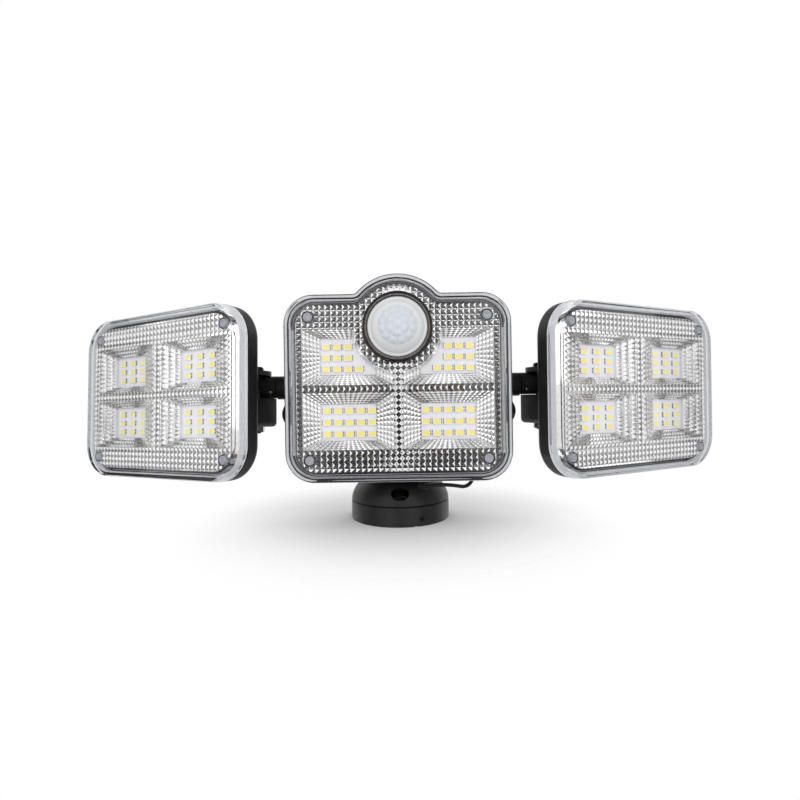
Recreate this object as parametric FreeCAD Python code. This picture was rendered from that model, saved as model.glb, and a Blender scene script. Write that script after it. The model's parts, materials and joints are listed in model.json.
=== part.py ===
import FreeCAD, Part
import math
import os

from FreeCAD import Vector as V

# A three head motion sensor light standing on a round swivel base.
# Millimetres. X runs to the right, Z is up and the main head faces -Y.
# The origin is the centre of the base's underside.

# Main head
main_width = 91.0
main_height = 76.0
head_corner = 12.0
main_front_y = -30.2
head_z = 58.3
main_post_inset_x = 9.3
main_post_inset_z = 9.0
sensor_z = 24.2
bump_radius = 21.8
bump_fillet = 3.0

# Side heads
side_width = 97.5
side_height = 73.5
side_corner = 15.0
side_z = 56.6
side_post_inset_x = 8.45
side_post_inset_z = 9.05

# Clear covers
cover_depth = 5.8
cover_wall = 2.0
cover_face = 2.0
cover_bevel = 1.4
flange_step = 0.5
flange_thick = 1.2
post_radius = 2.3
pilot_depth = 3.8
cover_screw_radius = 1.0
cover_screw_head = 2.1
cover_screw_head_thick = 1.4

# Casings behind the covers
seal_thick = 0.6
seal_inset = 0.4
seal_width = 1.4
casing_back = 13.0
casing_wall = 2.0
casing_edge = 2.5
boss_radius = 3.4

# Reflectors and boards
reflector_y = 3.0
reflector_thick = 1.0
well_wall = 0.8
board_y = 6.3
board_thick = 1.6
led_width = 3.5
led_height = 2.8
led_thick = 0.8
wire_hole = 3.5

# Wells of the main reflector, measured from the head's centre
main_rim_in = 1.9
main_rim_out = 38.8
main_window_in = 9.1
main_window_out = 32.6
main_low_rim = (-25.0, -1.7)
main_low_window = (-21.4, -6.3)
main_high_rim = (1.3, 23.9)
main_high_window = (5.6, 20.6)
well_arc_rim = 17.4
well_arc_window = 18.6

# Wells of a side reflector
side_rim_in = 1.9
side_rim_out = 42.3
side_window_in = 11.4
side_window_out = 33.2
side_rim_z = (1.9, 23.3)
side_window_z = (5.0, 18.9)

# Light emitting diodes
main_low_first_x = 11.05
main_low_pitch_x = 4.62
main_low_top_z = -9.05
main_low_pitch_z = 4.8
main_high_last_x = 29.6
main_high_pitch_x = 4.5
main_high_top_z = 17.2
main_high_pitch_z = 4.55
side_cell_x = 22.1
side_cell_z = 12.05
side_cell_shift = 0.9
side_pitch_x = 7.2
side_pitch_z = 4.0

# Motion sensor
collar_radius = 14.0
collar_proud = 2.5
lens_flange_radius = 11.95
lens_flange_thick = 1.0
lens_radius = 10.8
lens_height = 7.5
lens_wall = 0.9
lens_seat_depth = 0.8
collar_edge = 0.8
sensor_can_radius = 4.6
sensor_can_height = 4.0
sensor_can_edge = 0.5
sensor_brim = 0.4
sensor_brim_thick = 0.6
sensor_window_x = 4.0
sensor_window_z = 3.0
sensor_window_sunk = 0.25

# Rear box of the main head
box_half_width = 37.5
box_low = -22.0
box_high = 24.0
box_corner = 5.0
box_depth = 27.2
rear_cover_thick = 2.2
rear_cover_edge = 1.0
rear_screw_inset = 4.6
rear_screw_radius = 1.2
rear_screw_head = 2.4
rear_screw_head_thick = 1.2
rear_screw_sunk = 1.3
rear_screw_grip = 7.0
cell_radius = 9.15
cell_length = 50.0
cell_z = -9.9
cell_y = 27.0
control_width = 55.0
control_height = 17.0
control_z = 11.5
control_y = 18.5
control_post_radius = 1.5
control_post_inset = 3.0
chip_x = (-20.0, -12.0)
chip_z = (7.5, 15.5)
chip_thick = 1.2
coil_x = 16.0
coil_radius = 4.0
coil_thick = 4.0
switch_size = 6.0
switch_height = 4.0
plunger_radius = 1.6
cell_edge = 0.6
button_radius = 5.0
button_flange_radius = 6.2
button_flange_thick = 1.0
button_proud = 1.2
button_travel = 1.0
button_stem = 2.0
button_x = 0.0
button_z = 11.5

# Arms between the heads
arm_axis_z = 59.8
arm_radius = 5.4
stub_end = 55.8
arm_start = 56.2
arm_end = 62.8
hinge_x = 65.5
swivel_pin_radius = 3.3
swivel_pin_bore = 1.7
swivel_pin_start = 51.0
swivel_pin_end = 60.5
swivel_shoulder = 52.4
stub_cavity = 4.5
ring_radius = 4.2
ring_thick = 0.8
ring_groove = 0.5
arm_screw_radius = 0.7
arm_screw_x = 58.4
arm_screw_y = 4.35
arm_screw_head = 1.1
arm_screw_head_thick = 0.7
arm_screw_length = 3.8
arm_screw_seat = 2.0
arm_split = 0.05
ring_mouth = 2.4
ring_side_gap = 0.03

# Hinge at the outer end of each arm
hinge_local_x = 32.8
hinge_local_y = 29.2
ear_radius = 6.1
ear_thick = 2.1
ear_boss_radius = 2.2
ear_boss_bottom = 60.5
barrel_radius = 3.0
barrel_flange_radius = 3.4
barrel_flange_thick = 1.0
mitre_radius = 1.9
hinge_box_in = 7.0
hinge_box_out = 6.4
hinge_box_behind = 6.0
hinge_box_top = 54.9
hinge_box_bottom = 41.8
hinge_box_round = 2.0
hinge_box_wall = 1.8
hinge_bolt_radius = 1.5
hinge_bolt_head = 2.6
hinge_bolt_head_thick = 2.2
hinge_nut_flats = 5.5
hinge_nut_thick = 2.4
hinge_bolt_tail = 0.6
hinge_bolt_boss = 3.5
ear_lift = 0.2
gusset_behind = 0.8
gusset_lift = 1.0

# How the arms and side heads stand at rest, in degrees
left_fold = 25.8
right_fold = 24.8
left_lean = -2.8
right_lean = 0.0

# Neck between the main head and the dome
neck_z = 30.0
lug_half_width = 5.0
lug_radius = 5.8
ear_gap = 0.3
neck_ear_thick = 4.0
tilt_bolt_radius = 2.0
tilt_head_radius = 3.6
tilt_head_thick = 2.6
tilt_nut_flats = 7.0
tilt_nut_thick = 3.2
tilt_bolt_tail = 1.2

# Dome that turns on the base
dome_radius = 22.3
dome_mid_radius = 20.6
dome_mid_height = 5.0
dome_shoulder_radius = 15.2
dome_shoulder_height = 9.6
dome_top_radius = 13.0
dome_height = 10.4
dome_wall = 2.4
dome_rim = 0.4
dome_boss_radius = 6.5
dome_boss_lift = 1.1
port_half_width = 3.85
port_half_height = 2.45
port_z = 13.5
lock_screw_radius = 2.0
lock_screw_length = 6.5
lock_screw_sunk = 2.6
lock_socket_depth = 1.9

# Base ring, wall plate and pivot stud
base_radius = 22.4
base_height = 8.3
base_wall = 2.2
deck_thick = 2.3
base_edge = 0.8
plate_thick = 2.4
slot_spacing = 26.0
slot_width = 4.4
slot_length = 6.0
cable_hole_radius = 3.5
cable_hole_y = 12.0
base_lug_width = 8.0
base_lug_depth = 3.5
base_lug_height = 5.0
base_screw_angle = 24.0
base_screw_z = 3.0
base_screw_radius = 1.0
base_screw_length = 5.2
base_screw_sunk = 0.35
base_socket_depth = 1.1
notch_angle = 17.0
notch_width = 1.6
notch_height = 1.0
notch_depth = 0.9
stud_radius = 3.0
stud_head_radius = 5.5
stud_head_thick = 2.4
stud_top_gap = 0.6
stud_groove = 0.6
clip_radius = 5.4
clip_thick = 0.8
clip_grip_gap = 0.02

# Leads
lead_radius = 0.8
grommet_radius = 1.7
grommet_seat_depth = 1.5

# Rounding and cross recess of a screw's head, as shares of its thickness and radius
pan_round = 0.45
recess_reach = 0.55
recess_width = 0.16

# An arc on a lead's route cuts back this share of its shorter run
arc_share = 0.45

# Clearances
running_clearance = 0.08
screw_clearance = 0.05
seat_gap = 0.1
part_gap = 0.3

X = V(1, 0, 0)
Y = V(0, 1, 0)
Z = V(0, 0, 1)
SIDES = (("left", -1), ("right", 1))


# Shared shapes

def arc(cx, cz, r, start, end):
    """An arc in the XZ plane about (cx, cz), with angles in degrees from +X."""
    points = []
    for angle in (start, (start + end) / 2, end):
        a = math.radians(angle)
        points.append(V(cx + r * math.cos(a), 0, cz + r * math.sin(a)))
    return Part.Arc(*points).toShape()


def joined(pieces):
    """A closed wire from edges in order, with straight lines across the gaps."""
    edges = []
    for piece, following in zip(pieces, pieces[1:] + pieces[:1]):
        edges.append(piece)
        start = piece.valueAt(piece.LastParameter)
        end = following.valueAt(following.FirstParameter)
        if start.distanceToPoint(end) > 1e-6:
            edges.append(Part.makeLine(start, end))
    return Part.Wire(edges)


def rounded(x0, x1, z0, z1, r):
    """A rounded rectangle in the XZ plane."""
    return joined([
        arc(x1 - r, z0 + r, r, -90, 0),
        arc(x1 - r, z1 - r, r, 0, 90),
        arc(x0 + r, z1 - r, r, 90, 180),
        arc(x0 + r, z0 + r, r, 180, 270),
    ])


def side_outline(inset):
    w = side_width / 2 - inset
    h = side_height / 2 - inset
    return rounded(-w, w, -h, h, side_corner - inset)


def main_outline(inset):
    """The main head's outline: a rounded rectangle with a round bump for the sensor."""
    w = main_width / 2 - inset
    h = main_height / 2 - inset
    c = head_corner - inset
    bump = bump_radius - inset
    hollow = bump_fillet + inset
    rise = main_height / 2 + bump_fillet - sensor_z
    run = math.sqrt((bump_radius + bump_fillet) ** 2 - rise ** 2)
    slope = math.degrees(math.atan2(rise, run))
    hollow_z = sensor_z + rise
    return joined([
        arc(w - c, -h + c, c, -90, 0),
        arc(w - c, h - c, c, 0, 90),
        arc(run, hollow_z, hollow, 270, 180 + slope),
        arc(0, sensor_z, bump, slope, 180 - slope),
        arc(-run, hollow_z, hollow, -slope, -90),
        arc(-w + c, h - c, c, 90, 180),
        arc(-w + c, -h + c, c, 180, 270),
    ])


def slab(wire, y0, y1):
    """A wire in the XZ plane as a solid from depth y0 to y1."""
    solid = Part.Face(wire).extrude(V(0, y1 - y0, 0))
    solid.translate(V(0, y0, 0))
    return solid


def rod(r, start, direction, length):
    return Part.makeCylinder(r, length, start, direction)


def block(x0, x1, y0, y1, z0, z1):
    return Part.makeBox(x1 - x0, y1 - y0, z1 - z0, V(x0, y0, z0))


def hexagon(flats, thick, start, direction):
    """A hexagonal prism, measured across its flats."""
    corner = flats / math.sqrt(3)
    points = []
    for i in range(7):
        a = math.radians(60 * i)
        points.append(V(corner * math.cos(a), corner * math.sin(a), 0))
    solid = Part.Face(Part.makePolygon(points)).extrude(V(0, 0, thick))
    solid.Placement = FreeCAD.Placement(start, FreeCAD.Rotation(Z, direction))
    return solid


def pan_head(r, thick, start, direction):
    """A screw head with a rounded top and a cross recess, standing on start."""
    head = Part.makeCylinder(r, thick)
    head = head.makeFillet(thick * pan_round, [top_edge(head, thick)])
    arm = r * recess_reach
    slot = r * recess_width
    depth = thick / 2
    for reach_x, reach_y in ((arm, slot), (slot, arm)):
        head = head.cut(block(-reach_x, reach_x, -reach_y, reach_y, thick - depth, thick + 1))
    head.Placement = FreeCAD.Placement(start, FreeCAD.Rotation(Z, direction))
    return head


def top_edge(solid, height):
    for edge in solid.Edges:
        if edge.BoundBox.ZMin > height - 1e-6 and edge.Length > 1:
            return edge


def edges_at(solid, y):
    """The edges that lie in the plane at depth y."""
    return [
        e for e in solid.Edges
        if abs(e.BoundBox.YMin - y) < 1e-6 and abs(e.BoundBox.YMax - y) < 1e-6
    ]


def union(solids):
    return solids[0].fuse(list(solids[1:])).removeSplitter()


def group(solids):
    return Part.makeCompound(list(solids))


def corners(x, z):
    return [(sx * x, sz * z) for sx in (-1, 1) for sz in (-1, 1)]


def main_posts():
    """Where the main head's four screw posts stand."""
    return corners(main_width / 2 - main_post_inset_x, main_height / 2 - main_post_inset_z)


def side_posts():
    """Where a side head's four screw posts stand."""
    return corners(side_width / 2 - side_post_inset_x, side_height / 2 - side_post_inset_z)


def save(name, shape):
    shape.exportStep("parts/" + name + ".step")


def route(points):
    """Straight runs joined by tangent arcs, each as large as its two runs allow."""
    edges = []
    radii = []
    here = points[0]
    for before, corner, after in zip(points, points[1:], points[2:]):
        run_in = corner - before
        run_out = after - corner
        shorter = min(run_in.Length, run_out.Length)
        half_turn = run_in.getAngle(run_out) / 2
        cut_back = arc_share * shorter
        radius = cut_back / math.tan(half_turn)
        radii.append(radius)
        toward = V(run_in).normalize()
        away = V(run_out).normalize()
        start = corner - toward * cut_back
        end = corner + away * cut_back
        inward = V(away - toward).normalize()
        centre = corner + inward * (radius / math.cos(half_turn))
        middle = centre - inward * radius
        edges.append(Part.makeLine(here, start))
        edges.append(Part.Arc(start, middle, end).toShape())
        here = end
    edges.append(Part.makeLine(here, points[-1]))
    return Part.Wire(edges), radii


def tube(name, points):
    """A lead along its route. Prints its length, its tightest bend and its volume's error."""
    path, radii = route(points)
    circle = Part.makeCircle(lead_radius, points[0], points[1] - points[0])
    solid = path.makePipeShell([Part.Wire([circle])], True, False)
    ideal = math.pi * lead_radius ** 2 * path.Length
    print(name, "length", round(path.Length, 1), "radii", [round(r, 1) for r in radii],
          "volume ratio", round(solid.Volume / ideal, 4))
    return solid


# Parts of a head, in the head's own frame: its front face is at depth 0

def screw_posts(places):
    """Round posts inside a cover, each with a blind hole for its screw."""
    posts = []
    pilots = []
    end = board_y + board_thick - seat_gap
    for x, z in places:
        posts.append(rod(post_radius, V(x, cover_face / 2, z), Y, end - cover_face / 2))
        pilots.append(rod(cover_screw_hole(), V(x, end - pilot_depth, z), Y, pilot_depth))
    return posts, pilots


def cover_screw_hole():
    return cover_screw_radius + screw_clearance


def cover(outline, places):
    shell = slab(outline(0), 0, cover_depth)
    shell = shell.makeFillet(cover_bevel, edges_at(shell, 0))
    shell = shell.fuse(slab(outline(-flange_step), cover_depth - flange_thick, cover_depth))
    shell = shell.cut(slab(outline(cover_wall), cover_face, cover_depth + 1))
    posts, pilots = screw_posts(places)
    return shell.fuse(posts).cut(group(pilots)).removeSplitter()


def seal(outline):
    ring = slab(outline(seal_inset), cover_depth, cover_depth + seal_thick)
    return ring.cut(slab(outline(seal_inset + seal_width), cover_depth - 1, cover_depth + seal_thick + 1))


def tray(outline, places):
    """The black casing behind a cover, with bosses that carry the board and the screws."""
    front = cover_depth + seal_thick
    shell = slab(outline(-flange_step), front, casing_back)
    shell = shell.makeFillet(casing_edge, edges_at(shell, casing_back))
    floor = casing_back - casing_wall
    shell = shell.cut(slab(outline(casing_wall), front - 1, floor))
    bosses = []
    holes = []
    boss_start = board_y + board_thick
    for x, z in places:
        bosses.append(rod(boss_radius, V(x, boss_start, z), Y, floor - boss_start + 0.5))
        holes.append(rod(cover_screw_hole(), V(x, boss_start - 1, z), Y, casing_back))
    return shell.fuse(bosses).cut(group(holes))


def cover_screws(places):
    screws = []
    tip = board_y + board_thick - pilot_depth
    for x, z in places:
        shank = rod(cover_screw_radius, V(x, tip, z), Y, casing_back - tip)
        head = pan_head(cover_screw_head, cover_screw_head_thick, V(x, casing_back, z), Y)
        screws.append(shank.fuse(head).removeSplitter())
    return group(screws)


def funnel(rim, window, grow):
    """A tapered well from the rim's rectangle to the window's, grown sideways by grow."""
    wires = []
    for (x0, x1, z0, z1), y in ((rim, reflector_y), (window, board_y - seat_gap)):
        low_x, high_x = min(x0, x1) - grow, max(x0, x1) + grow
        low_z, high_z = min(z0, z1) - grow, max(z0, z1) + grow
        wires.append(Part.makePolygon([
            V(low_x, y, low_z), V(high_x, y, low_z), V(high_x, y, high_z),
            V(low_x, y, high_z), V(low_x, y, low_z),
        ]))
    return Part.makeLoft(wires, True, True)


def main_wells(grow):
    wells = []
    depth = board_y - seat_gap - reflector_y
    round_sensor = Part.makeCone(
        well_arc_rim - grow, well_arc_window - grow, depth, V(0, reflector_y, sensor_z), Y)
    for sx in (-1, 1):
        rim_x = (sx * main_rim_in, sx * main_rim_out)
        window_x = (sx * main_window_in, sx * main_window_out)
        wells.append(funnel(rim_x + main_low_rim, window_x + main_low_window, grow))
        high = funnel(rim_x + main_high_rim, window_x + main_high_window, grow)
        wells.append(high.cut(round_sensor))
    return wells


def side_wells(grow):
    wells = []
    for sx in (-1, 1):
        for sz in (-1, 1):
            rim = (sx * side_rim_in, sx * side_rim_out, sz * side_rim_z[0], sz * side_rim_z[1])
            window = (sx * side_window_in, sx * side_window_out,
                      sz * side_window_z[0], sz * side_window_z[1])
            wells.append(funnel(rim, window, grow))
    return wells


def reflector(outline, wells, places, holes):
    """A plate with four tapered wells, without its fine studs and steps."""
    plate = slab(outline(cover_wall + part_gap), reflector_y, reflector_y + reflector_thick)
    plate = plate.fuse(wells(well_wall))
    plate = plate.cut(group(wells(0)))
    for x, z in places:
        holes.append(rod(post_radius + part_gap, V(x, 0, z), Y, casing_back))
    return plate.cut(group(holes)).removeSplitter()


def board(outline, places):
    plate = slab(outline(cover_wall + part_gap), board_y, board_y + board_thick)
    holes = [rod(post_radius + part_gap, V(x, 0, z), Y, casing_back) for x, z in places]
    return plate.cut(group(holes))


def led(x, z):
    """One surface mounted diode on the front of its board."""
    return block(x - led_width / 2, x + led_width / 2,
                 board_y - led_thick, board_y, z - led_height / 2, z + led_height / 2)


def main_led_places():
    places = []
    for sx in (-1, 1):
        for row in range(3):
            z = main_low_top_z - row * main_low_pitch_z
            places += [(sx * (main_low_first_x + k * main_low_pitch_x), z) for k in range(5)]
            z = main_high_top_z - row * main_high_pitch_z
            across = 4 if row == 2 else 3
            places += [(sx * (main_high_last_x - k * main_high_pitch_x), z) for k in range(across)]
    return places


def side_led_places(side):
    """The four cells' diodes, which stand a little towards the hinge."""
    shift = -side * side_cell_shift
    steps = (-1, 0, 1)
    return [
        (sx * side_cell_x + shift + i * side_pitch_x, sz * side_cell_z + k * side_pitch_z)
        for sx in (-1, 1) for sz in (-1, 1) for i in steps for k in steps
    ]


# The main head

def place_main(solid):
    solid.translate(V(0, main_front_y, head_z))
    return solid


def arm_y():
    """Depth of the arms' axis in the main head's frame."""
    return -main_front_y


def box_back():
    return casing_back + box_depth


def rear_face():
    """Depth of the rear box's open rim."""
    return box_back() - rear_cover_thick - seal_thick


def box_wire(inset):
    return rounded(-box_half_width + inset, box_half_width - inset,
                   box_low + inset, box_high - inset, box_corner - inset)


def rear_screw_places():
    x = box_half_width - rear_screw_inset
    return [(sx * x, z) for sx in (-1, 1)
            for z in (box_low + rear_screw_inset, box_high - rear_screw_inset)]


def main_housing():
    case = tray(main_outline, main_posts())
    box = slab(box_wire(0), casing_back - casing_wall, rear_face())
    inside = slab(box_wire(casing_wall), casing_back, rear_face() + 1)
    wire_way = rod(wire_hole, V(0, casing_back - casing_wall - 1, box_low / 4), Y, casing_wall + 2)
    axis_z = arm_axis_z - head_z
    solids = [case, box]
    cuts = [inside, wire_way]
    for sx in (-1, 1):
        start = V(sx * (box_half_width - casing_wall), arm_y(), axis_z)
        solids.append(rod(arm_radius, start, X * sx, stub_end - box_half_width + casing_wall))
        cavity_x = box_half_width - casing_wall - 1
        cavity_start = V(sx * cavity_x, arm_y(), axis_z)
        cuts.append(rod(stub_cavity, cavity_start, X * sx, swivel_shoulder - cavity_x))
        bore_start = V(sx * (swivel_shoulder - 1), arm_y(), axis_z)
        cuts.append(rod(swivel_pin_radius + running_clearance, bore_start, X * sx, 10))
    lug_z = neck_z - head_z
    solids.append(block(-lug_half_width, lug_half_width, arm_y() - lug_radius, arm_y() + lug_radius,
                        lug_z, box_low + casing_wall / 2))
    solids.append(rod(lug_radius, V(-lug_half_width, arm_y(), lug_z), X, 2 * lug_half_width))
    cuts.append(rod(tilt_bolt_radius + running_clearance, V(-10, arm_y(), lug_z), X, 20))
    shell = union(solids).cut(group(cuts))
    bosses = []
    pilots = []
    for x, z in rear_screw_places():
        bosses.append(rod(boss_radius, V(x, casing_back - 0.5, z), Y, rear_face() - casing_back + 0.5))
        pilot_start = V(x, rear_face() - rear_screw_grip - 1, z)
        pilots.append(rod(rear_screw_radius + screw_clearance, pilot_start, Y, rear_screw_grip + 2))
    bosses = [b.common(slab(box_wire(casing_wall / 2), 0, rear_face())) for b in bosses]
    shell = shell.fuse(bosses).cut(group(pilots))
    for solid in grommet_seats():
        shell = shell.cut(solid)
    return place_main(shell.removeSplitter())


def rear_cover():
    front = box_back() - rear_cover_thick
    plate = slab(box_wire(0), front, box_back())
    plate = plate.makeFillet(rear_cover_edge, edges_at(plate, box_back()))
    cuts = [rod(button_radius + running_clearance, V(button_x, front - 1, button_z), Y, 10)]
    for x, z in rear_screw_places():
        cuts.append(rod(rear_screw_radius + screw_clearance, V(x, front - 1, z), Y, 10))
        seat = V(x, box_back() - rear_screw_sunk, z)
        cuts.append(rod(rear_screw_head + seat_gap, seat, Y, 5))
    return place_main(plate.cut(group(cuts)))


def rear_seal():
    front = rear_face()
    ring = slab(box_wire(seal_inset), front, front + seal_thick)
    ring = ring.cut(slab(box_wire(seal_inset + seal_width), front - 1, front + 2))
    holes = []
    for x, z in rear_screw_places():
        holes.append(rod(rear_screw_radius + part_gap, V(x, front - 1, z), Y, 5))
    return place_main(ring.cut(group(holes)))


def rear_cover_screws():
    screws = []
    seat = box_back() - rear_screw_sunk
    tip = rear_face() - rear_screw_grip
    for x, z in rear_screw_places():
        shank = rod(rear_screw_radius, V(x, tip, z), Y, seat - tip)
        head = pan_head(rear_screw_head, rear_screw_head_thick, V(x, seat, z), Y)
        screws.append(shank.fuse(head).removeSplitter())
    return place_main(group(screws))


def main_cover():
    shell = cover(main_outline, main_posts())
    opening = rod(collar_radius + part_gap, V(0, -1, sensor_z), Y, cover_face + 2)
    return place_main(shell.cut(opening))


def main_reflector():
    opening = rod(collar_radius + part_gap, V(0, 0, sensor_z), Y, casing_back)
    return place_main(reflector(main_outline, main_wells, main_posts(), [opening]))


def sensor_collar():
    """The dark ring round the lens, with a ledge that the lens sits on."""
    back = board_y - seat_gap
    ring = rod(collar_radius, V(0, -collar_proud, sensor_z), Y, back + collar_proud)
    ring = ring.makeFillet(collar_edge, edges_at(ring, -collar_proud))
    mouth = V(0, -collar_proud - 1, sensor_z)
    ring = ring.cut(rod(lens_flange_radius + seat_gap, mouth, Y, lens_seat() - mouth.y))
    ring = ring.cut(rod(lens_radius, V(0, -collar_proud, sensor_z), Y, back + collar_proud + 1))
    return place_main(ring)


def lens_seat():
    """Depth of the back of the lens's flange."""
    return -collar_proud + lens_seat_depth + lens_flange_thick - seat_gap


def sensor_lens():
    """A thin round cap with a flat flange, turned about the sensor's axis."""
    seat = lens_seat()
    face = seat - lens_flange_thick
    bulge = (lens_radius ** 2 + lens_height ** 2) / (2 * lens_height)
    flange = rod(lens_flange_radius, V(0, face, sensor_z), Y, lens_flange_thick)
    centre = V(0, face - lens_height + bulge, sensor_z)
    outer = Part.makeSphere(bulge, centre)
    inner = Part.makeSphere(bulge - lens_wall, centre)
    front_part = rod(lens_flange_radius, V(0, face - lens_height - 1, sensor_z), Y, lens_height + 1.01)
    cap = outer.common(front_part).fuse(flange)
    return place_main(cap.cut(inner).removeSplitter())


def sensor_element():
    """The round metal can of the heat sensor, with its square window."""
    back = board_y
    can = rod(sensor_can_radius, V(0, back - sensor_can_height, sensor_z), Y, sensor_can_height)
    can = can.makeFillet(sensor_can_edge, edges_at(can, back - sensor_can_height))
    brim_start = V(0, back - sensor_brim_thick, sensor_z)
    brim = rod(sensor_can_radius + sensor_brim, brim_start, Y, sensor_brim_thick)
    half_x = sensor_window_x / 2
    half_z = sensor_window_z / 2
    window = block(-half_x, half_x, 0, back - sensor_can_height + sensor_window_sunk,
                   sensor_z - half_z, sensor_z + half_z)
    return place_main(can.fuse(brim).cut(window).removeSplitter())


def control_board():
    w = control_width / 2
    h = control_height / 2
    plate = slab(rounded(-w, w, control_z - h, control_z + h, 1.0), control_y, control_y + board_thick)
    foot = control_y - casing_back
    posts = []
    for sx in (-1, 1):
        start = V(sx * (w - control_post_inset), casing_back + seat_gap, control_z)
        posts.append(rod(control_post_radius, start, Y, foot))
    middle = control_y + board_thick / 2
    face = control_y + board_thick
    chip = block(*chip_x, middle, face + chip_thick, *chip_z)
    coil = rod(coil_radius, V(coil_x, middle, control_z), Y, face + coil_thick - middle)
    return place_main(union([plate, chip, coil] + posts))


def battery_cell():
    can = rod(cell_radius, V(-cell_length / 2, cell_y, cell_z), X, cell_length)
    ends = [e for e in can.Edges if e.BoundBox.XLength < 1e-6]
    can = can.makeFillet(cell_edge, ends)
    return place_main(can)


def power_switch():
    half = switch_size / 2
    base = control_y + board_thick
    body = block(button_x - half, button_x + half, base, base + switch_height * 0.7,
                 button_z - half, button_z + half)
    plunger = rod(plunger_radius, V(button_x, base + 1, button_z), Y, switch_height - 1)
    return place_main(body.fuse(plunger).removeSplitter())


def power_button():
    """A push button in the rear cover, held by an inner flange, with a stem to the switch."""
    face = box_back() + button_proud
    inner = box_back() - rear_cover_thick - seat_gap
    cap = rod(button_radius, V(button_x, inner - 0.5, button_z), Y, face - inner + 0.5)
    cap = cap.makeFillet(0.5, edges_at(cap, face))
    flange_start = V(button_x, inner - button_flange_thick, button_z)
    flange = rod(button_flange_radius, flange_start, Y, button_flange_thick)
    switch_top = control_y + board_thick + switch_height
    stem_end = switch_top + button_travel + seat_gap
    stem = rod(button_stem, V(button_x, stem_end, button_z), Y, inner - stem_end)
    return place_main(union([cap, flange, stem]))


# Leads and their grommets, in the row's frame

def lead_points(sx):
    """The short lead that leaves the rear box and goes up into the arm's stub."""
    return [
        V(sx * 34.6, 0, 41.9),
        V(sx * 40.2, 0, 41.5),
        V(sx * 46.0, 0, 40.2),
        V(sx * 51.3, 0, 41.9),
        V(sx * 54.2, 0, 46.9),
        V(sx * 52.3, 0, 52.2),
        V(sx * 47.4, 0, 56.6),
    ]


def supply_points():
    """The supply lead that hangs under the main head and goes into the dome."""
    return [
        V(31.8, -16.6, 27.6),
        V(31.9, -11.5, 26.4),
        V(32.6, -8.8, 21.8),
        V(32.3, -10.2, 17.0),
        V(28.8, -13.4, 14.8),
        V(23.6, -16.2, 16.2),
        V(18.0, -18.2, 17.0),
        V(12.6, -18.4, 16.6),
        V(8.0, -15.2, 15.6),
    ]


def grommet_ends(sx):
    """Each end of a short lead: a point on it, its direction and the grommet's length."""
    points = lead_points(sx)
    outward = V(points[1] - points[0]).normalize()
    upward = V(points[-2] - points[-1]).normalize()
    return [
        (points[0] + outward * 0.4, outward, 3.6),
        (points[-1] + upward * 0.9, upward, 3.2),
    ]


def supply_end():
    points = supply_points()
    direction = V(points[1] - points[0]).normalize()
    return points[0] + direction * 0.2, direction, 2.7


def dome_end():
    points = supply_points()
    direction = V(points[-2] - points[-1]).normalize()
    return points[-1] + direction * 0.4, direction, 3.6


def grommet(end):
    start, direction, length = end
    body = rod(grommet_radius, start, direction, length)
    return body.cut(rod(lead_radius + seat_gap / 2, start - direction, direction, length + 2))


def grommet_seat(start, direction, length):
    behind = start - direction * grommet_seat_depth
    return rod(grommet_radius + seat_gap / 2, behind, direction, length + 2 * grommet_seat_depth)


def grommet_seats():
    """The holes that the grommets fill, moved into the main head's frame."""
    seats = []
    ends = [end for name, sx in SIDES for end in grommet_ends(sx)]
    for start, direction, length in ends + [supply_end()]:
        seat = grommet_seat(start, direction, length)
        seat.translate(V(0, -main_front_y, -head_z))
        seats.append(seat)
    return seats


# The arms, in the row's frame before they lean

def place_arm(solid, side):
    """Turns an arm or a side head about the arms' axis to its lean at rest."""
    lean = left_lean if side < 0 else right_lean
    solid.rotate(V(0, 0, arm_axis_z), X, lean)
    return solid


def arm_half(side, upper):
    """Half of an arm's round sleeve, split along its middle."""
    length = (hinge_x if upper else arm_end) - arm_start
    sleeve = rod(arm_radius, V(side * arm_start, 0, arm_axis_z), X * side, length)
    top = arm_axis_z + arm_radius + 1
    low = arm_axis_z + arm_split if upper else arm_axis_z - arm_radius - 1
    high = top if upper else arm_axis_z - arm_split
    sleeve = sleeve.common(block(-100, 100, -20, 20, low, high))
    seat_length = swivel_pin_end - arm_start
    cuts = [
        rod(swivel_pin_radius + screw_clearance, V(side * (arm_start - 1), 0, arm_axis_z),
            X * side, seat_length + 1 + seat_gap),
    ]
    for sy in (-1, 1):
        at = V(side * arm_screw_x, sy * arm_screw_y, arm_axis_z - 10)
        cuts.append(rod(arm_screw_radius + screw_clearance, at, Z, 12))
    if not upper:
        for sy in (-1, 1):
            at = V(side * arm_screw_x, sy * arm_screw_y, arm_axis_z - 10)
            cuts.append(rod(arm_screw_head + screw_clearance, at, Z, 10 - arm_screw_seat))
    return sleeve.cut(group(cuts))


def arm_upper(side):
    """The upper half, cut back in a cone so that the hinge's gusset can swing."""
    half = arm_half(side, True)
    low = ear_boss_bottom - part_gap
    rise = arm_axis_z + arm_radius + 1 - low
    clear = Part.makeCone(mitre_radius, mitre_radius + rise, rise, V(side * hinge_x, 0, low), Z)
    flange_room = rod(barrel_flange_radius + part_gap, V(side * hinge_x, 0, arm_axis_z - 1), Z, 2)
    return place_arm(half.cut(clear).cut(flange_room), side)


def barrel_bottom():
    return hinge_box_top + ear_lift


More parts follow.
